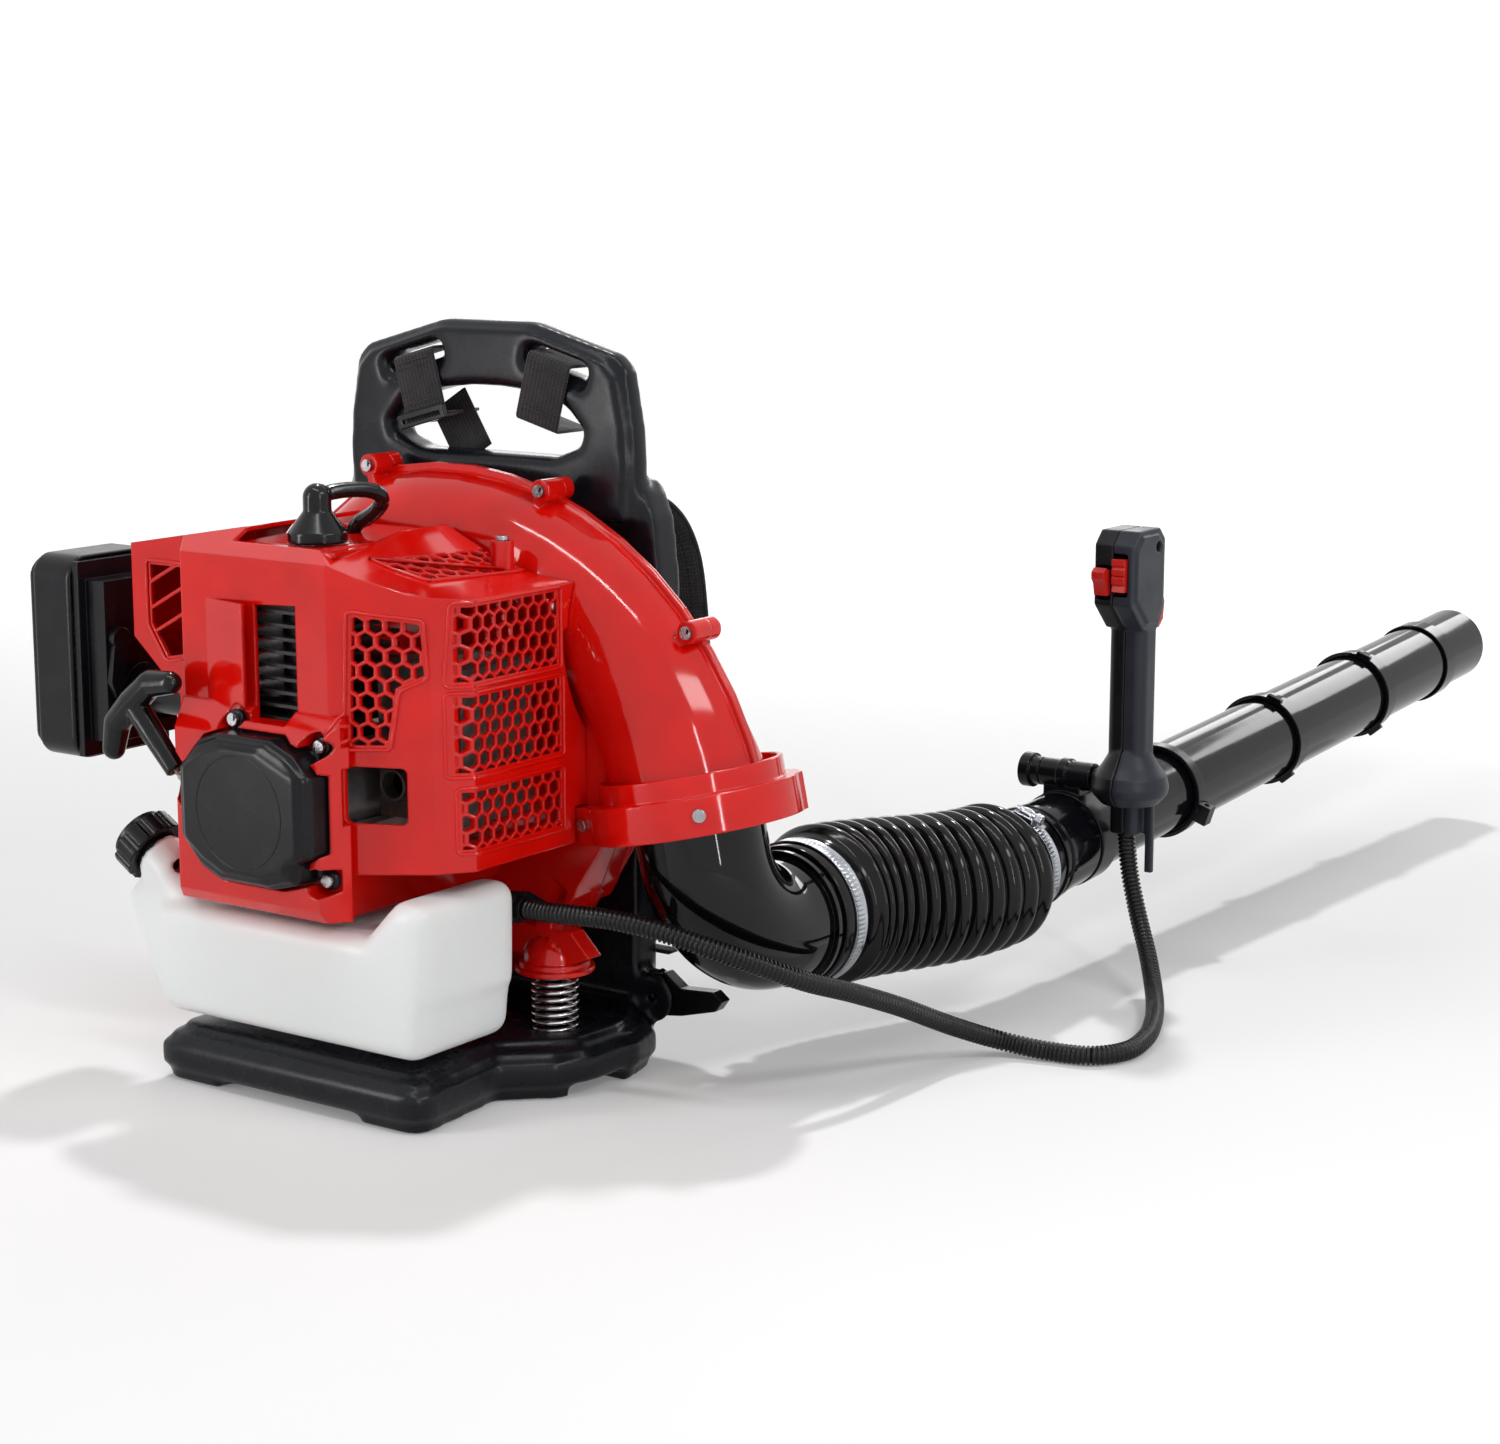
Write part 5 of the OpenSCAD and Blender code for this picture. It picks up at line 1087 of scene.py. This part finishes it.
def make_webbing():
    """Webbing folded through the arch's slots and across its window, and the tabs at the foot."""
    body = Mesh()
    weave = []
    seams = Mesh()
    for mirror in (1, -1):
        flip = Matrix.Diagonal((mirror, 1, 1))
        placed = [flip @ (SLOT_AT + SLOT_TURN @ p) for p in round_corners(mm(WEB_FOLD), 3.2 * MM)]
        across = flip @ (SLOT_TURN @ X)
        ribbon(body, weave, placed, across, WEB_W)
        for row in WEB_SEAMS:
            run = [flip @ (SLOT_AT + SLOT_TURN @ (Vector((x, SEAM_Y, row)) * MM)) for x in range(-19, 15, 3)]
            stitches(seams, run, 2.2 * MM, -Y)
        ribbon(body, weave, [flip @ p for p in mm(WEB_TAB)], X, TAB_W)
    window = mm(WINDOW_WEB)
    way = (window[1] - window[0]).normalized()
    ribbon(body, weave, [window[0].lerp(window[1], k / 6) for k in range(7)], way.cross(Y), WINDOW_WEB_W)
    obj = body.make("webbing_folded")
    store_weave(obj, weave)
    dress(obj, "webbing", "frame")
    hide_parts("strap_webbing")
    dress(seams.make("webbing_stitching"), "webbing", "frame")


# ---- pieces ----
dress_nodes()
make_bellows()
make_clamp("clamp_large_worm", Vector((221.25, 158, 106.3)) * MM, Y, 51.4 * MM, 13 * MM, 110,
           "elbow_hose", "hose_clamp_large")
make_clamp("clamp_small_worm", BELL_D + TUBE_DIR * 22 * MM, TUBE_DIR, 39.8 * MM, 11 * MM, -20,
           "hose_end", "hose_clamp_small")
make_starter_ring()
make_cover_rims()
make_springs()
make_buffers()
make_rope()
make_back_pad()
make_strap("shoulder_strap_right", "shoulder_strap_right", False)
make_strap("shoulder_strap_left", "shoulder_strap_left", True)
make_webbing()


# ---- stage ----
def seen_by_camera(tree):
    """1 for camera, mirror and clear rays, so that metal and glass show the background too."""
    path = tree.nodes.new("ShaderNodeLightPath")
    total = path.outputs["Is Camera Ray"]
    for name in ("Is Glossy Ray", "Is Transmission Ray"):
        both = tree.nodes.new("ShaderNodeMath")
        both.operation = "MAXIMUM"
        tree.links.new(total, both.inputs[0])
        tree.links.new(path.outputs[name], both.inputs[1])
        total = both.outputs[0]
    return total


def make_world(level):
    world = bpy.data.worlds.new("studio")
    bpy.context.scene.world = world
    world.use_nodes = True
    tree = world.node_tree
    colour = tree.nodes.new("ShaderNodeMapRange")
    tree.links.new(seen_by_camera(tree), colour.inputs["Value"])
    colour.inputs["To Min"].default_value = level
    colour.inputs["To Max"].default_value = 1.0
    tree.links.new(colour.outputs[0], tree.nodes["Background"].inputs["Strength"])
    tree.nodes["Background"].inputs["Color"].default_value = (1, 1, 1, 1)


def make_floor(albedo, near_glow, far_glow):
    """A white floor; its glow, which only camera and mirror rays see, grows away from the object."""
    half = 30.0
    near, far = 0.8, 3.5
    floor = piece("floor", [(-half, -half, 0), (half, -half, 0), (half, half, 0), (-half, half, 0)],
                  [(0, 1, 2, 3)])
    material = bpy.data.materials.new("floor")
    material.use_nodes = True
    tree = material.node_tree
    shader = tree.nodes["Principled BSDF"]
    shader.inputs["Base Color"].default_value = (albedo, albedo, albedo, 1)
    shader.inputs["Roughness"].default_value = 0.9
    shader.inputs["Specular IOR Level"].default_value = 0.1
    shader.inputs["Emission Color"].default_value = (1, 1, 1, 1)
    place = tree.nodes.new("ShaderNodeTexCoord")
    distance = tree.nodes.new("ShaderNodeVectorMath")
    distance.operation = "LENGTH"
    tree.links.new(place.outputs["Object"], distance.inputs[0])
    glow = tree.nodes.new("ShaderNodeMapRange")
    tree.links.new(distance.outputs["Value"], glow.inputs["Value"])
    for key, value in (("From Min", near), ("From Max", far), ("To Min", near_glow), ("To Max", far_glow)):
        glow.inputs[key].default_value = value
    shine = tree.nodes.new("ShaderNodeMath")
    shine.operation = "MULTIPLY"
    tree.links.new(seen_by_camera(tree), shine.inputs[0])
    tree.links.new(glow.outputs[0], shine.inputs[1])
    tree.links.new(shine.outputs[0], shader.inputs["Emission Strength"])
    floor.data.materials.append(material)


MIDDLE = (0.1, 0.25, 0.2)


def lamp(name, kind, place, target, power, **settings):
    """A lamp that points at its target, out of the camera's sight."""
    data = bpy.data.lights.new(name, kind)
    data.energy = power
    for key, value in settings.items():
        setattr(data, key, value)
    obj = bpy.data.objects.new(name, data)
    obj.location = place
    obj.rotation_euler = (Vector(target) - Vector(place)).to_track_quat("-Z", "Y").to_euler()
    obj.visible_camera = False
    bpy.context.scene.collection.objects.link(obj)


def softbox(name, place, power, width, height, target=MIDDLE):
    """A lamp with a rectangular face that points at its target."""
    lamp(name, "AREA", place, target, power, shape="RECTANGLE", size=width, size_y=height)


make_world(level=0.17)
make_floor(albedo=0.8, near_glow=0.14, far_glow=0.58)
lamp("sun", "SUN", (-1.45, 2.6, 4.9), MIDDLE, 1.15, angle=math.radians(4))
softbox("softbox_right", (1.5, 0.0, 1.4), 8, 0.9, 0.3)
softbox("softbox_left", (-1.0, -1.9, 0.9), 9, 0.22, 1.3)
softbox("softbox_back", (-1.3, 2.6, 1.2), 13, 2.0, 0.5)
softbox("softbox_far", (0.5, 3.2, 1.5), 12, 1.2, 0.5)
softbox("strip_right", (2.0, -0.9, 0.8), 7, 0.05, 1.2)
softbox("strip_front", (-0.8, -1.25, 0.34), 3.6, 0.1, 0.6, target=(0, -0.14, 0.3))
softbox("strip_top", (0.2, -0.6, 1.9), 8, 1.4, 0.06)

bpy.context.scene.view_settings.view_transform = "Standard"
